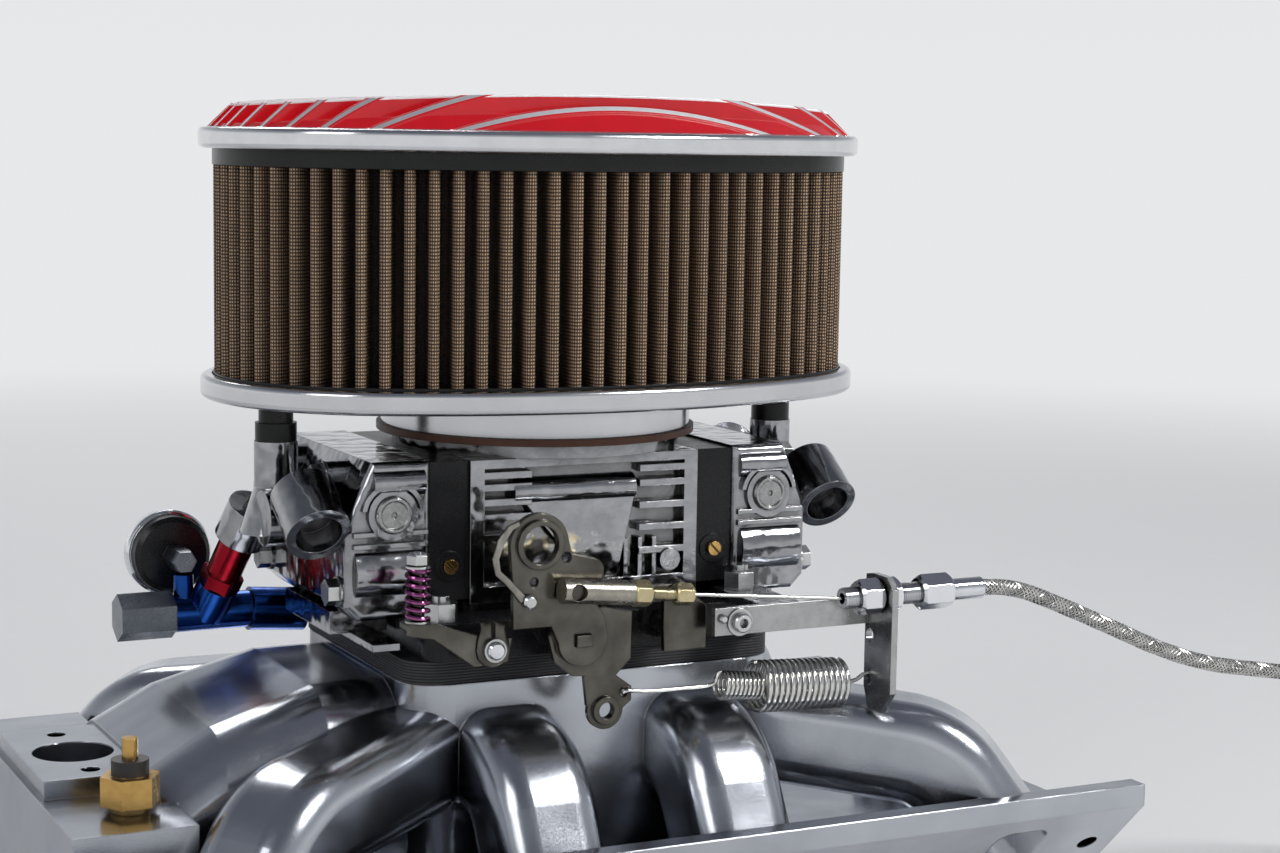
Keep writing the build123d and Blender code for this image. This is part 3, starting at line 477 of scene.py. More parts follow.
def floorFinish():
    finish = Finish("floorPaint", Roughness=0.75)
    fine = finish.noise(studio["stainWidth"], 3.0)
    pale, stain = shade(*studio["floorShade"]), shade(*studio["floorStain"])
    finish.feed("Base Color", finish.tint(fine * studio["stain"], pale, stain))
    x, y, _ = finish.axes(finish.place())
    reach = x.maths("SQRT", x * x + y * y)
    far = ((reach - studio["fadeFrom"]) / studio["fadeOver"]).clear()
    smooth = far * far * (3 - 2 * far)
    seen = finish.add("ShaderNodeLightPath", output="Is Camera Ray")
    for kind in ("Is Glossy Ray", "Is Transmission Ray"):
        seen = seen + finish.add("ShaderNodeLightPath", output=kind)
    glow = finish.add("ShaderNodeEmission", {}, {"Color": shade(*studio["horizon"]), "Strength": 1.0})
    values = {0: smooth * seen.clear(), 1: Signal(finish, finish.shader.outputs[0]), 2: glow}
    mixed = finish.add("ShaderNodeMixShader", {}, values)
    finish.link(mixed, finish.tree.nodes["Material Output"], "Surface")
    return finish.material


def makeFloor():
    half = studio["floorSide"] / 2
    mesh = bpy.data.meshes.new("floor")
    corners = [(-half, -half, 0), (half, -half, 0), (half, half, 0), (-half, half, 0)]
    mesh.from_pydata(corners, [], [(0, 1, 2, 3)])
    mesh.materials.append(floorFinish())
    floor = newObject("floor", mesh)


def makeLamps():
    for number, (place, aim, width, watts) in enumerate(studio["lamps"]):
        lamp = bpy.data.lights.new(f"softbox{number}", "AREA")
        lamp.size = width
        lamp.energy = watts
        made = newObject(f"softbox{number}", lamp)
        made.location = place
        made.rotation_mode = "QUATERNION"
        made.rotation_quaternion = (Vector(aim) - Vector(place)).to_track_quat("-Z", "Y")


def makeSky():                                 # pale near the ground, darker overhead
    scene.world = bpy.data.worlds.new("studio")
    scene.world.use_nodes = True
    sky = Wiring(scene.world.node_tree)
    _, _, height = sky.axes(sky.add("ShaderNodeTexCoord", output="Generated"))
    stops = [(level, shade(*colour)) for level, colour in studio["sky"]]
    ramp = sky.add("ShaderNodeValToRGB", {"stops": stops}, {0: height})
    sky.link(ramp, sky.tree.nodes["Background"], 0)


makeFloor()
makeLamps()
makeSky()
print("studio done")


# Node patterns: a tree with named sizes, run once and kept as a plain mesh
class Pattern(Wiring):
    def __init__(self, name, **sizes):
        super().__init__(bpy.data.node_groups.new(name, "GeometryNodeTree"))
        face = self.tree.interface
        face.new_socket("Geometry", in_out="INPUT", socket_type="NodeSocketGeometry")
        for label, kind in sizes.items():
            face.new_socket(label, in_out="INPUT", socket_type="NodeSocket" + kind)
        face.new_socket("finish", in_out="INPUT", socket_type="NodeSocketMaterial")
        face.new_socket("Geometry", in_out="OUTPUT", socket_type="NodeSocketGeometry")
        self.entry = self.tree.nodes.new("NodeGroupInput")

    def given(self, label):
        return Signal(self, self.entry.outputs[label])

    def vectorMaths(self, operation, first, second):
        key = "Scale" if operation == "SCALE" else 1
        return self.add("ShaderNodeVectorMath", {"operation": operation}, {0: first, key: second})

    def tube(self, route, radius, sides):      # round along route, closed at its ends
        ring = self.add("GeometryNodeCurvePrimitiveCircle", {}, {"Resolution": sides, "Radius": radius})
        values = {"Curve": route, "Profile Curve": ring, "Fill Caps": True}
        return self.add("GeometryNodeCurveToMesh", {}, values)

    def close(self, shape):
        whole = self.add("GeometryNodeRealizeInstances", {}, {"Geometry": shape})
        values = {"Geometry": whole, "Material": self.given("finish")}
        coated = self.add("GeometryNodeSetMaterial", {}, values)
        self.link(coated, self.tree.nodes.new("NodeGroupOutput"), "Geometry")
        return self


def plainMesh(name, source):                   # what source looks like now, as a mesh of its own
    bpy.context.view_layer.update()
    depsgraph = bpy.context.evaluated_depsgraph_get()
    shape = source.evaluated_get(depsgraph)
    mesh = bpy.data.meshes.new_from_object(shape, preserve_all_data_layers=True, depsgraph=depsgraph)
    mesh.name = name
    return mesh


def finished(name, mesh, finish, move=None):   # an object from mesh, moved and with its finish
    if move:
        mesh.transform(move)
    mesh.materials.clear()
    mesh.materials.append(finish)
    return newObject(name, mesh)


def fromShape(name, shape, finish, move=None):
    mesh = bpy.data.meshes.new(name)
    shape.to_mesh(mesh)
    shape.free()
    return finished(name, mesh, finish, move)


def fromLine(name, data, finish, move=None):   # data is a curve or a text
    line = newObject(name + "Line", data)
    mesh = plainMesh(name, line)
    bpy.data.objects.remove(line)
    return finished(name, mesh, finish, move)


def standing(place, way):                      # turns the z axis to way and moves it to place
    turn = Vector((0, 0, 1)).rotation_difference(Vector(way)).to_matrix().to_4x4()
    return Matrix.Translation(place) @ turn


def grow(name, pattern, finish, base=None, **sizes):
    source = newObject(name + "Source", base or bpy.data.meshes.new(name + "Source"))
    modifier = source.modifiers.new("pattern", "NODES")
    modifier.node_group = pattern.tree
    values = dict(sizes, finish=finish)
    for item in pattern.tree.interface.items_tree:
        if item.in_out == "INPUT" and item.name in values:
            modifier[item.identifier] = values[item.name]
    mesh = plainMesh(name, source)
    source.modifiers.remove(modifier)
    bpy.data.objects.remove(source)
    return newObject(name, mesh)


def settle(piece, body, slotName, *nodes, angle=0.6):
    piece.data.shade_smooth()
    piece.data.set_sharp_from_angle(angle=angle)
    if body:
        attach(piece, body)
    if nodes:
        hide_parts(*nodes)
    return piece


def makeRoute(name, points):
    data = bpy.data.curves.new(name, "CURVE")
    data.dimensions = "3D"
    spline = data.splines.new("NURBS")
    spline.points.add(len(points) - 1)
    for point, place in zip(spline.points, points):
        point.co = (*place, 1.0)
    spline.order_u = 3
    spline.use_endpoint_u = True
    spline.resolution_u = 8
    return data


# Throttle cable: a braided hose over its liner
cable = {
    "diameter": 0.0074,
    "length": 0.580,
    "liner": 0.0032,
    "strand": 0.00042,
    "strands": 9,                              # each way round
    "lay": 0.020,                              # along the hose for one turn of a strand
    "step": 0.0011,                            # between a strand's points
    "route": [                                 # from the clamp fitting's ferrule to the end fitting
        (0.168, -0.113, 0.160), (0.184, -0.113, 0.160), (0.212, -0.113, 0.149), (0.241, -0.113, 0.1365),
        (0.270, -0.113, 0.1235), (0.300, -0.113, 0.1135), (0.331, -0.113, 0.1085), (0.363, -0.113, 0.103),
        (0.392, -0.112, 0.091), (0.417, -0.115, 0.069), (0.436, -0.122, 0.045), (0.452, -0.134, 0.023),
        (0.466, -0.153, 0.009), (0.470, -0.179, 0.0042), (0.460, -0.205, 0.0038), (0.438, -0.223, 0.0038),
        (0.409, -0.229, 0.0039), (0.381, -0.222, 0.0039), (0.359, -0.203, 0.0039), (0.347, -0.177, 0.0042),
        (0.347, -0.149, 0.0052),
    ],
}


def braidPattern():
    tree = Pattern("braid", liner="Float", strand="Float", strands="Int", lay="Float", step="Float")
    route, liner, strand = tree.given("Geometry"), tree.given("liner"), tree.given("strand")
    count, lay = tree.given("strands"), tree.given("lay")
    linerSides, strandSides, lift = 16, 4, 0.25
    core = tree.tube(route, liner, linerSides)
    settings = {"mode": "LENGTH"}
    steady = tree.add("GeometryNodeResampleCurve", settings, {"Curve": route, "Length": tree.given("step")})
    values = {"Geometry": steady, "Amount": count * 2}
    copies = tree.add("GeometryNodeDuplicateElements", {"domain": "SPLINE"}, values)
    index = copies.beside("Duplicate Index")
    back = index.above(count - 0.5)            # half of the strands wind the other way
    way = 1 - 2 * back
    along = tree.add("GeometryNodeSplineParameter", output="Length")
    angle = (along / lay * way + index / count) * (2 * math.pi)
    normal = tree.add("GeometryNodeInputNormal")
    side = tree.vectorMaths("CROSS_PRODUCT", tree.add("GeometryNodeInputTangent"), normal)
    weaving = (along / lay * (count * 2 * math.pi)).wave()
    radius = liner + strand * (lift + lift * weaving * way)
    first = tree.vectorMaths("SCALE", normal, angle.wave() * radius)
    second = tree.vectorMaths("SCALE", side, (angle + math.pi / 2).wave() * radius)
    values = {"Geometry": copies, "Offset": tree.vectorMaths("ADD", first, second)}
    strands = tree.add("GeometryNodeSetPosition", {}, values)
    both = tree.add("GeometryNodeJoinGeometry", {}, {0: core})
    tree.link(tree.tube(strands, strand, strandSides), both.socket.node, 0)
    return tree.close(both)


def makeCable():
    route = makeRoute("cableRoute", cable["route"])
    line = newObject("cableLine", route)
    path = [tuple(vertex.co) for vertex in plainMesh("cablePath", line).vertices]
    bpy.data.objects.remove(line)
    sizes = {key: cable[key] for key in ("liner", "strand", "strands", "lay", "step")}
    piece = grow("braided_cable", braidPattern(), materials["steel_braid"], route, **sizes)
    settle(piece, "root", "steel_braid", "cable")


makeCable()
print("cable done")


# Pleated filter element: one sheet that runs in and out round the oval
element = {
    "half": (0.1465, 0.0915),
    "corner": 0.0775,
    "pleats": 76,
    "steps": 16,
    "rows": 8,
    "depth": 0.013,
    "level": 0.2535,
    "height": 0.0903,
    "sheet": 0.0011,
    "uneven": 0.10,                            # of a pleat
    "crowd": 0.085,                            # how far the cloth gathers at the folds
    "cloth": 0.0294,                           # cloth in one pleat
    "sway": 0.00067,                           # of the wires where the folds crowd
}


def ovalCurve(name, half, corner, steps=40):   # four arcs, as the lid and the base have
    data = bpy.data.curves.new(name, "CURVE")
    data.dimensions = "3D"
    inward = half[0] - corner
    broad = (inward ** 2 + half[1] ** 2 - corner ** 2) / (2 * (half[1] - corner))
    bend = math.atan2(inward, broad - half[1])
    right = math.pi / 2
    arcs = [(0, half[1] - broad, broad, right, bend), (-inward, 0, corner, 2 * right, right - bend),
            (0, broad - half[1], broad, 3 * right, bend), (inward, 0, corner, 4 * right, right - bend)]
    points = []
    for x, y, radius, middle, spread in arcs:
        for step in range(steps):
            angle = middle + spread * (2 * step / steps - 1)
            points.append((x + radius * math.cos(angle), y + radius * math.sin(angle), 0.0))
    spline = data.splines.new("POLY")
    spline.points.add(len(points) - 1)
    for point, place in zip(spline.points, points):
        point.co = (*place, 1.0)
    spline.use_cyclic_u = True
    return data


def pleatPattern():
    tree = Pattern("pleats", pleats="Int", steps="Int", rows="Int", depth="Float", level="Float",
                   height="Float", uneven="Float", crowd="Float", cloth="Float", sway="Float")
    noiseStep, seam, weld = 0.9, 0.02, 0.00002
    columns = tree.given("pleats") * tree.given("steps") + 1
    values = {"Size X": 1.0, "Size Y": 1.0, "Vertices X": columns, "Vertices Y": tree.given("rows")}
    grid = tree.add("GeometryNodeMeshGrid", {}, values)
    x, y, _ = tree.axes(tree.add("GeometryNodeInputPosition"))
    around, upward = x + 0.5, y + 0.5
    phase = around * tree.given("pleats")
    ends = (around * math.pi).wave()
    values = {"Vector": tree.vector(phase * noiseStep, 0.0, 0.0), "Scale": 1.0}
    noise = tree.add("ShaderNodeTexNoise", {}, values)
    jitter = (noise - 0.5) * ends.above(seam) * tree.given("uneven") * 2
    double = (phase * (4 * math.pi)).wave()
    along = (phase + tree.given("crowd") * double + jitter) / tree.given("pleats")
    sink = 0.5 - 0.5 * (phase * (2 * math.pi) + math.pi / 2).wave()
    length = tree.given("cloth") * phase - tree.given("sway") * double
    settings = {"data_type": "FLOAT2", "domain": "CORNER"}
    spread = tree.vector(length, upward * tree.given("height"), 0.0)
    values = {"Geometry": grid, "Name": "UVMap", "Value": spread}
    mapped = tree.add("GeometryNodeStoreNamedAttribute", settings, values)
    settings = {"data_type": "FLOAT", "domain": "POINT"}
    values = {"Geometry": mapped, "Name": "sink", "Value": sink}
    marked = tree.add("GeometryNodeStoreNamedAttribute", settings, values)
    settings = {"mode": "FACTOR", "use_all_curves": True}
    values = {"Curves": tree.given("Geometry"), "Factor": along.clear()}
    place = tree.add("GeometryNodeSampleCurve", settings, values, "Position")
    outward = tree.vectorMaths("CROSS_PRODUCT", place.beside("Tangent"), (0, 0, 1))
    inset = tree.vectorMaths("SCALE", outward, sink * tree.given("depth") * -1)
    lift = tree.vector(0.0, 0.0, tree.given("level") + upward * tree.given("height"))
    final = tree.vectorMaths("ADD", tree.vectorMaths("ADD", place, inset), lift)
    moved = tree.add("GeometryNodeSetPosition", {}, {"Geometry": marked, "Position": final})
    return tree.close(tree.add("GeometryNodeMergeByDistance", {}, {"Geometry": moved, "Distance": weld}))


def makeElement():
    oval = ovalCurve("elementOval", element["half"], element["corner"])
    sizes = {key: size for key, size in element.items() if key not in ("half", "corner", "sheet")}
    wall = grow("pleatWall", pleatPattern(), materials["cotton_gauze"], oval, **sizes)
    thick = wall.modifiers.new("sheet", "SOLIDIFY")
    thick.thickness = element["sheet"]
    thick.offset = -1.0
    piece = newObject("pleated_element", plainMesh("pleated_element", wall))
    bpy.data.objects.remove(wall)
    settle(piece, "root", "cotton_gauze", "filter_element", angle=1.2)


makeElement()
print("element done")


# Springs: one spiral tree for the return springs and the pump's
springs = {
    "outer": {"start": (0.0995, -0.106, 0.121), "end": (0.058, -0.106, 0.123), "radius": 0.0105,
              "wire": 0.00100, "turns": 15.0},
    "inner": {"start": (0.0595, -0.106, 0.123), "end": (0.0405, -0.106, 0.125), "radius": 0.0056,
              "wire": 0.00085, "turns": 9.0},
    "pump": {"start": (-0.088, -0.081, 0.1590), "end": (-0.088, -0.081, 0.1805), "radius": 0.00445,
             "wire": 0.00105, "turns": 6.5},
    "hook": {                                  # from the outer coil to the bracket
        "wire": 0.0010,
        "route": [(0.0995, -0.106, 0.1315), (0.1010, -0.106, 0.1290), (0.1020, -0.106, 0.1210),
                  (0.1090, -0.106, 0.1210), (0.1135, -0.106, 0.1245), (0.1185, -0.106, 0.1235),
                  (0.1195, -0.106, 0.1190), (0.1165, -0.106, 0.1165)],
    },
    "link": {                                  # from the inner coil to the lever's tab
        "wire": 0.00085,
        "route": [(0.0405, -0.106, 0.1306), (0.0392, -0.106, 0.1290), (0.0385, -0.106, 0.1252),
                  (0.0220, -0.106, 0.1252), (0.0060, -0.106, 0.1254), (0.0000, -0.106, 0.1262),
                  (-0.0035, -0.1062, 0.1268), (-0.0052, -0.1055, 0.1256), (-0.0040, -0.1030, 0.1250),
                  (-0.0038, -0.1005, 0.1250)],
    },
}
noSharp = 3.2                                  # an angle that no edge reaches


def spiralPattern():
    tree = Pattern("spiral", turns="Float", radius="Float", height="Float", wire="Float")
    values = {"Resolution": 28, "Rotations": tree.given("turns"), "Start Radius": tree.given("radius"),
              "End Radius": tree.given("radius"), "Height": tree.given("height")}
    line = tree.add("GeometryNodeCurveSpiral", {}, values)
    return tree.close(tree.tube(line, tree.given("wire"), 8))


spiral = spiralPattern()


def coilMesh(name, finish, spec):
    start, end = Vector(spec["start"]), Vector(spec["end"])
    way = end - start
    piece = grow(name, spiral, finish, turns=spec["turns"], radius=spec["radius"], height=way.length,
                 wire=spec["wire"])
    piece.data.transform(standing(start, way))
    return piece


def wireMesh(name, finish, spec):
    data = makeRoute(name + "Line", spec["route"])
    data.bevel_depth = spec["wire"]
    data.bevel_resolution = 2
    data.use_fill_caps = True
    return fromLine(name, data, finish)


def joined(name, pieces):                      # several plain meshes as one piece
    whole = bmesh.new()
    finishes = []
    for piece in pieces:
        offset = len(finishes)
        finishes += list(piece.data.materials)
        part = bmesh.new()
        part.from_mesh(piece.data)
        for face in part.faces:
            face.material_index += offset
        copy = bpy.data.meshes.new("copy")
        part.to_mesh(copy)
        part.free()
        whole.from_mesh(copy)
        bpy.data.meshes.remove(copy)
        bpy.data.objects.remove(piece)
    mesh = bpy.data.meshes.new(name)
    whole.to_mesh(mesh)
    whole.free()
    for finish in finishes:
        mesh.materials.append(finish)
    return newObject(name, mesh)


def makeSprings():
    wire = materials["bright_wire"]
    outer = coilMesh("outerCoil", wire, springs["outer"])
    hook = wireMesh("outerHook", wire, springs["hook"])
    piece = joined("return_coil", [outer, hook])
    settle(piece, None, "bright_wire", "return_spring", angle=noSharp)
    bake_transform(piece)
    inner = coilMesh("innerCoil", wire, springs["inner"])
    link = wireMesh("springLink", wire, springs["link"])
    second = joined("spring_link", [inner, link])
    settle(second, "spring_end", "bright_wire", "spring_hook", angle=noSharp)


makeSprings()
print("springs done")


# Turned pieces and fasteners
toward, away = (0, -1, 0), (0, 1, 0)           # the camera's side and the far side


def lathe(name, profile, finish, place, way=(0, 0, 1), steps=40):
    weld = 0.000005
    shape = bmesh.new()
    rings = []
    for radius, height in profile:
        around = [2 * math.pi * i / steps for i in range(steps)] if radius else [0]
        rings.append([shape.verts.new((radius * math.cos(a), radius * math.sin(a), height)) for a in around])
    for low, high in zip(rings, rings[1:]):
        for i in range(steps):
            j = i + 1
            corners = [low[i % len(low)], low[j % len(low)], high[j % len(high)], high[i % len(high)]]
            corners = list(dict.fromkeys(corners))
            if len(corners) > 2:
                shape.faces.new(corners)
    bmesh.ops.remove_doubles(shape, verts=shape.verts, dist=weld)
    bmesh.ops.recalc_face_normals(shape, faces=shape.faces)
    return fromShape(name, shape, finish, standing(place, way))


def disc(radius, height):
    return [(0, 0), (radius, 0), (radius, height), (0, height)]


def hexNut(name, across, height, finish, place, way=(0, 0, 1)):
    r = across / math.sqrt(3)
    profile = [(0, 0), (r * 0.9, 0), (r, height * 0.12), (r, height * 0.88), (r * 0.9, height), (0, height)]
    return lathe(name, profile, finish, place, way, 6)


def slottedPattern():                          # slotted screws at given points, each turned its own way
    tree = Pattern("slottedHeads", radius="Float", rise="Float", slot="Float", tilt="Float")
    radius, rise = tree.given("radius"), tree.given("rise")
    barReach, barLift = 2.4, 0.55
    head = tree.add("GeometryNodeMeshCylinder", {}, {"Vertices": 28, "Radius": radius, "Depth": rise})
    bar = tree.vector(radius * barReach, tree.given("slot"), rise)
    bar = tree.add("GeometryNodeMeshCube", {}, {"Size": bar})
    values = {"Geometry": bar, "Translation": tree.vector(0.0, 0.0, rise * barLift)}
    values = {"Mesh 1": head, "Mesh 2": tree.add("GeometryNodeTransform", {}, values)}
    cut = tree.add("GeometryNodeMeshBoolean", {"operation": "DIFFERENCE"}, values)
    tilted = tree.vector(tree.given("tilt"), 0.0, 0.0)
    values = {"Points": tree.given("Geometry"), "Instance": cut, "Rotation": tilted}
    placed = tree.add("GeometryNodeInstanceOnPoints", {}, values)
    spin = tree.add("FunctionNodeRandomValue", {"data_type": "FLOAT"}, {"Seed": 7}, 1) * math.pi
    values = {"Instances": placed, "Rotation": tree.vector(0.0, 0.0, spin)}
    return tree.close(tree.add("GeometryNodeRotateInstances", {}, values))


def pointMesh(name, points):
    mesh = bpy.data.meshes.new(name)
    mesh.from_pydata(points, [], [])
    return mesh


screws = {
    "radius": 0.0032,
    "rise": 0.0022,
    "slot": 0.0009,
    "height": 0.175,
    "across": 0.0635,                          # from the middle to a metering block
}


def makeScrews():
    pattern = slottedPattern()
    sizes = {key: screws[key] for key in ("radius", "rise", "slot")}
    inset = screws["rise"] / 2
    for end, sign in (("front", -1), ("rear", 1)):
        low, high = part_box("mixture_screws_" + end)
        halves = []
        for face, tilt in ((low[1] + inset, math.pi / 2), (high[1] - inset, -math.pi / 2)):
            base = pointMesh("screwPoint", [(sign * screws["across"], face, screws["height"])])
            halves.append(grow("screwHalf", pattern, materials["brass"], base, tilt=tilt, **sizes))
        settle(joined("slotted_screws_" + end, halves), "root", "brass", "mixture_screws_" + end)


plugs = {
    "inset": 0.002,
    "profile": [(0, 0), (0.0080, 0), (0.0080, 0.0010), (0.0073, 0.0019), (0.0062, 0.0019), (0.0057, 0.0013),
                (0.0013, 0.0013), (0.0010, 0.0007), (0, 0.0007)],
}


def makePlugs():
    profile, glass, inset = plugs["profile"], materials["sight_glass"], plugs["inset"]
    for end in ("front", "rear"):
        low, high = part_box("sight_plugs_" + end)
        middle, level = (low[0] + high[0]) / 2, (low[2] + high[2]) / 2
        pair = [lathe("plugNear", profile, glass, (middle, low[1] + inset, level), toward),
                lathe("plugAway", profile, glass, (middle, high[1] - inset, level), away)]
        settle(joined("level_plugs_" + end, pair), "root", "sight_glass", "sight_plugs_" + end)


pump = {
    "rod": (0.0029, 0.0240),                   # radius and height
    "rodLevel": 0.1575,
    "seat": (0.0054, 0.0010),
    "seatLevels": (0.1575, 0.1805),
    "nut": (0.0085, 0.0048),                   # width across flats and height
    "nutLevel": 0.1815,
    "end": [(0, 0), (0.0022, 0), (0.0022, 0.0006), (0.0018, 0.0010), (0, 0.0010)],
    "endLevel": 0.1860,
}


def makePump():
    zinc = materials["zinc_plate"]
    x, y = springs["pump"]["start"][:2]
    coil = coilMesh("pumpCoil", materials["purple_spring"], springs["pump"])
    rod = lathe("pumpRod", disc(*pump["rod"]), materials["dark_zinc"], (x, y, pump["rodLevel"]))
    seats = [lathe("pumpSeat", disc(*pump["seat"]), zinc, (x, y, level)) for level in pump["seatLevels"]]
    nut = hexNut("pumpNut", *pump["nut"], zinc, (x, y, pump["nutLevel"]))
    end = lathe("pumpEnd", pump["end"], zinc, (x, y, pump["endLevel"]))
    settle(joined("pump_spring_set", [coil, rod, nut, end] + seats), "pump", "purple_spring", "pump_spring")


threads = {
    "wire": 0.00035,
    "ends": {                                  # body, finish, start, end, radius and turns
        "clamp_thread": ("root", "chrome", (0.0970, -0.113, 0.16), (0.1032, -0.113, 0.16), 0.0045, 6.0),
        "clamp_thread_far": ("root", "chrome", (0.1248, -0.113, 0.16), (0.1347, -0.113, 0.16), 0.0045, 10.0),
        "barrel_thread": ("cable_end", "yellow_zinc", (0.00304, -0.113, 0.16899), (0.01399, -0.113, 0.16794),
                          0.0026, 12.0),
    },
}


def makeThreads():
    for name, (body, slotName, start, end, radius, turns) in threads["ends"].items():
        spec = {"start": start, "end": end, "radius": radius, "wire": threads["wire"], "turns": turns}
        settle(coilMesh(name, materials[slotName], spec), body, slotName, angle=noSharp)


bracketScrews = {
    "cap": [(0, 0.0020), (0.0020, 0.0020), (0.0021, 0.0042), (0.0036, 0.0042), (0.0042, 0.0036),
            (0.0042, 0.0011), (0.0060, 0.0010), (0.0062, 0), (0, 0)],
    "capPlace": (0.051, -0.1039, 0.1515),
    "pin": [(0, 0), (0.0019, 0), (0.0019, 0.0016), (0.0013, 0.0024), (0, 0.0026)],
    "pinPlace": (0.0425, -0.1039, 0.1535),
}


def makeBracketScrews():
    zinc = materials["zinc_plate"]
    cap = lathe("bracketCap", bracketScrews["cap"], zinc, bracketScrews["capPlace"], toward)
    pin = lathe("bracketPin", bracketScrews["pin"], zinc, bracketScrews["pinPlace"], toward, 24)
    settle(joined("bracket_screws", [cap, pin]), "root", "zinc_plate")


def plate(name, outline, back, front, finish, soft=0.0003):    # outline in x and z, thickness along y
    shape = bmesh.new()
    near = [shape.verts.new((x, front, z)) for x, z in outline]
    far = [shape.verts.new((x, back, z)) for x, z in outline]
    shape.faces.new(near)
    shape.faces.new(reversed(far))
    for i in range(len(outline)):
        j = (i + 1) % len(outline)
        shape.faces.new((near[i], far[i], far[j], near[j]))
    bmesh.ops.recalc_face_normals(shape, faces=shape.faces)
    edges = [edge for edge in shape.edges if abs(edge.verts[0].co.y - edge.verts[1].co.y) < 1e-6]
    bmesh.ops.bevel(shape, geom=edges, offset=soft, segments=2, profile=0.5, affect="EDGES")
    return fromShape(name, shape, finish)


pumpClip = {
    "centre": (-0.057, 0.145),                 # in x and z
    "half": [(0.0008, 0.0052), (0.0008, 0.0118), (0.0052, 0.0120), (0.0058, 0.0112), (0.0056, 0.0088),
             (0.0068, 0.0045), (0.0075, 0.0), (0.0066, -0.0038), (0.0040, -0.0066), (0.0, -0.0077)],
    "sides": (-0.0871, -0.0883),
    "screw": [(0, 0), (0.0038, 0), (0.0038, 0.0010), (0.0031, 0.0019), (0, 0.0023)],
    "screwFoot": -0.0910,
}


def makeClip():                                # slotted clip and screw on the pump arm's pin
    x, z = pumpClip["centre"]
    half = pumpClip["half"]
    outline = half + [(-across, up) for across, up in reversed(half[:-1])]
    outline = [(x + across, z + up) for across, up in outline]
    clip = plate("clip", outline, *pumpClip["sides"], materials["dark_zinc"])
    place = (x, pumpClip["screwFoot"], z)
    screw = lathe("clipScrew", pumpClip["screw"], materials["chrome"], place, toward, 28)
    settle(joined("pump_clip", [clip, screw]), "root", "dark_zinc")


leverStrip = {
    "outer": [(-0.0545, 0.2022), (-0.0595, 0.2002), (-0.0636, 0.1945), (-0.0660, 0.1869), (-0.0648, 0.1803),
              (-0.0606, 0.1765), (-0.0567, 0.1721), (-0.0534, 0.1680)],
    "inner": [(-0.0540, 0.2000), (-0.0572, 0.1986), (-0.0608, 0.1935), (-0.0632, 0.1869), (-0.0624, 0.1818),
              (-0.0586, 0.1785), (-0.0545, 0.1741), (-0.0506, 0.1700)],
    "sides": (-0.1069, -0.1084),
    "boss": [(0, 0), (0.0029, 0), (0.0030, 0.0020), (0.0022, 0.0030), (0, 0.0033)],
    "bossPlace": (-0.0495, -0.1071, 0.1683),
}


def makeLeverStrip():                          # bright bent strip on the throttle lever
    outline = leverStrip["outer"] + list(reversed(leverStrip["inner"]))
    strip = plate("strip", outline, *leverStrip["sides"], stripFinish)
    boss = lathe("stripEnd", leverStrip["boss"], materials["zinc_plate"], leverStrip["bossPlace"], toward, 24)
    settle(joined("lever_strip", [strip, boss]), "primary", "zinc_plate")


gauge = {
    "place": (-0.1465, 0.078, 0.163),
    "case": [(0, 0), (0.0155, 0), (0.0176, 0.0018), (0.0181, 0.0080), (0, 0.0080)],
    "bezel": [(0.0160, 0.0072), (0.0190, 0.0072), (0.0199, 0.0082), (0.0200, 0.0122), (0.0193, 0.0138),
              (0.0176, 0.0139), (0.0167, 0.0126), (0.0160, 0.0072)],
    "dial": 0.0166,
    "dialBack": 0.0085,
    "face": 0.0118,
    "stem": (0.0100, 0.0205),                  # width across flats and length
    "stemFrom": 0.0578,
    "hub": [(0, 0), (0.0017, 0), (0.0017, 0.0008), (0, 0.0010)],
    "sweep": 4.4,                              # radians from the first tick to the last
    "top": 15,
    "step": 5,
    "tick": (0.0004, 0.0016),                  # width and length
    "longer": (0.0003, 0.0012),                # what a numbered tick has more
    "tickRadius": 0.0140,
    "numeral": 0.0042,
    "numeralRadius": 0.0098,
    "needle": (0.0007, 0.0130, 0.0045),        # width, length and its middle's radius
    "reading": 0.28,                           # of the sweep, from its middle
    "print": 0.0001,                           # how far marks stand off the dial
    "markDepth": 0.0003,
}


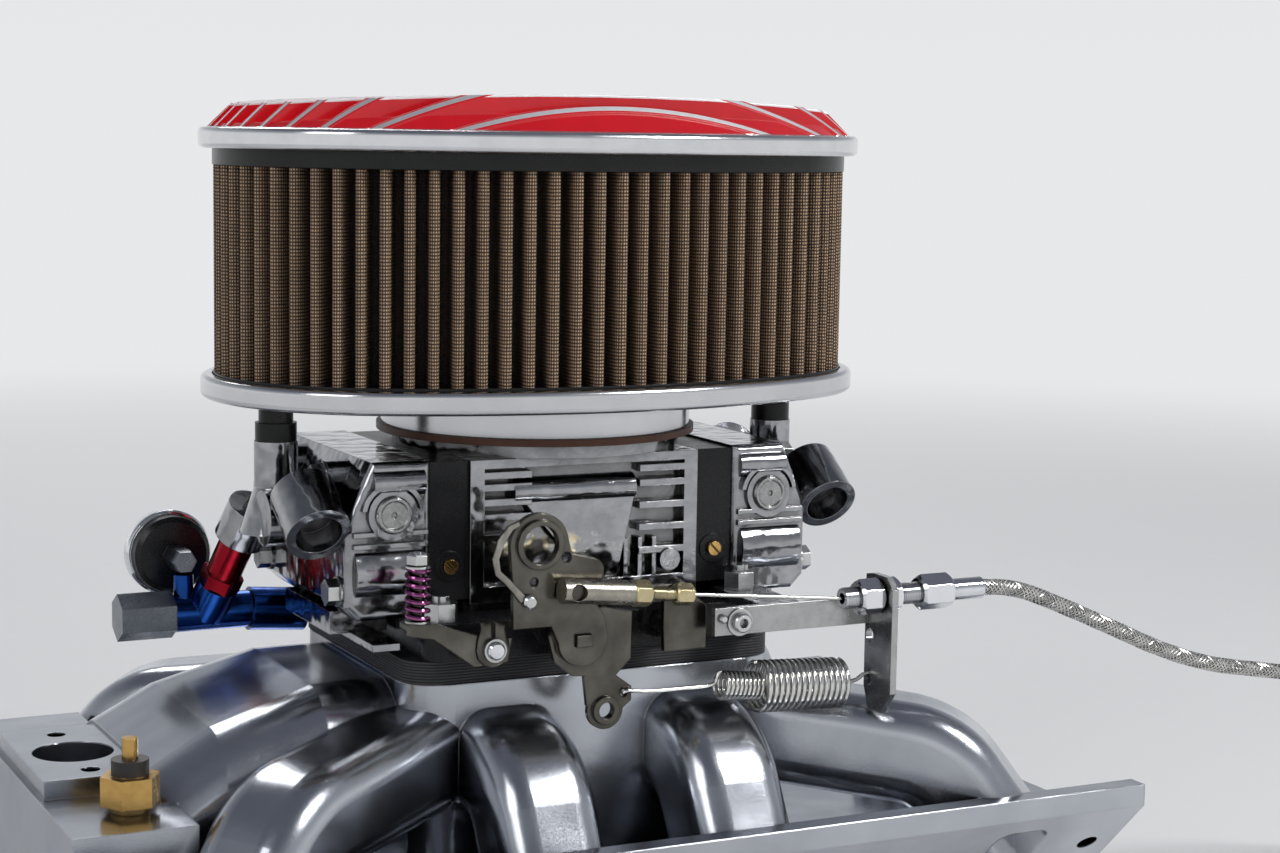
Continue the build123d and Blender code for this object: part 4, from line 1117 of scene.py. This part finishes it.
def dialMark(name, finish, width, length, radius, angle):
    x, y, z = gauge["place"]
    shape = bmesh.new()
    bmesh.ops.create_cube(shape, size=1.0)
    turn = Matrix.Rotation(angle, 4, "Y")
    move = Matrix.Translation((x, y + gauge["face"] + gauge["print"], z))
    scale = Matrix.Diagonal((width, gauge["markDepth"], length, 1.0))
    return fromShape(name, shape, finish, move @ turn @ Matrix.Translation((0, 0, radius)) @ scale)


def numeral(words, finish, angle):
    data = bpy.data.curves.new("numeral", "FONT")
    data.body, data.size, data.extrude = words, gauge["numeral"], gauge["print"]
    data.align_x = data.align_y = "CENTER"
    x, y, z = gauge["place"]
    radius = gauge["numeralRadius"]
    facing = Matrix(((-1, 0, 0, 0), (0, 0, 1, 0), (0, 1, 0, 0), (0, 0, 0, 1)))
    place = (x + math.sin(angle) * radius, y + gauge["face"] + gauge["print"], z + math.cos(angle) * radius)
    return fromLine("numeral", data, finish, Matrix.Translation(place) @ facing)


def makeGauge():
    black, chrome, grey = (materials[name] for name in ("black_anodised", "chrome", "grey_anodised"))
    white = plainFinish("dialWhite", (0.75, 0.75, 0.72), (0.68, 0.68, 0.65), 0.5)
    x, y, z = place = gauge["place"]
    back, face, width = gauge["dialBack"], gauge["face"], gauge["dial"]
    dial = [(0, back), (width, back), (width, face), (0, face)]
    pieces = [lathe("gaugeCase", gauge["case"], black, place, away, 56),
              lathe("gaugeBezel", gauge["bezel"], chrome, place, away, 56),
              lathe("gaugeDial", dial, white, place, away, 56),
              hexNut("gaugeStem", *gauge["stem"], grey, (x, gauge["stemFrom"], z), away)]
    for tick in range(gauge["top"] + 1):
        angle = gauge["sweep"] * (0.5 - tick / gauge["top"])
        long = tick % gauge["step"] == 0
        size = [base + more * long for base, more in zip(gauge["tick"], gauge["longer"])]
        pieces.append(dialMark("tick", black, *size, gauge["tickRadius"], angle))
        if long:
            pieces.append(numeral(str(tick), black, angle))
    pieces.append(dialMark("needle", black, *gauge["needle"], gauge["sweep"] * gauge["reading"]))
    pieces.append(lathe("needleHub", gauge["hub"], black, (x, y + face, z), away, 24))
    settle(joined("fuel_gauge", pieces), "root", "chrome", "pressure_gauge")


makeScrews()
makePlugs()
makePump()
makeThreads()
makeBracketScrews()
makeClip()
makeLeverStrip()
makeGauge()
print("fasteners and gauge done")

bpy.context.view_layer.update()
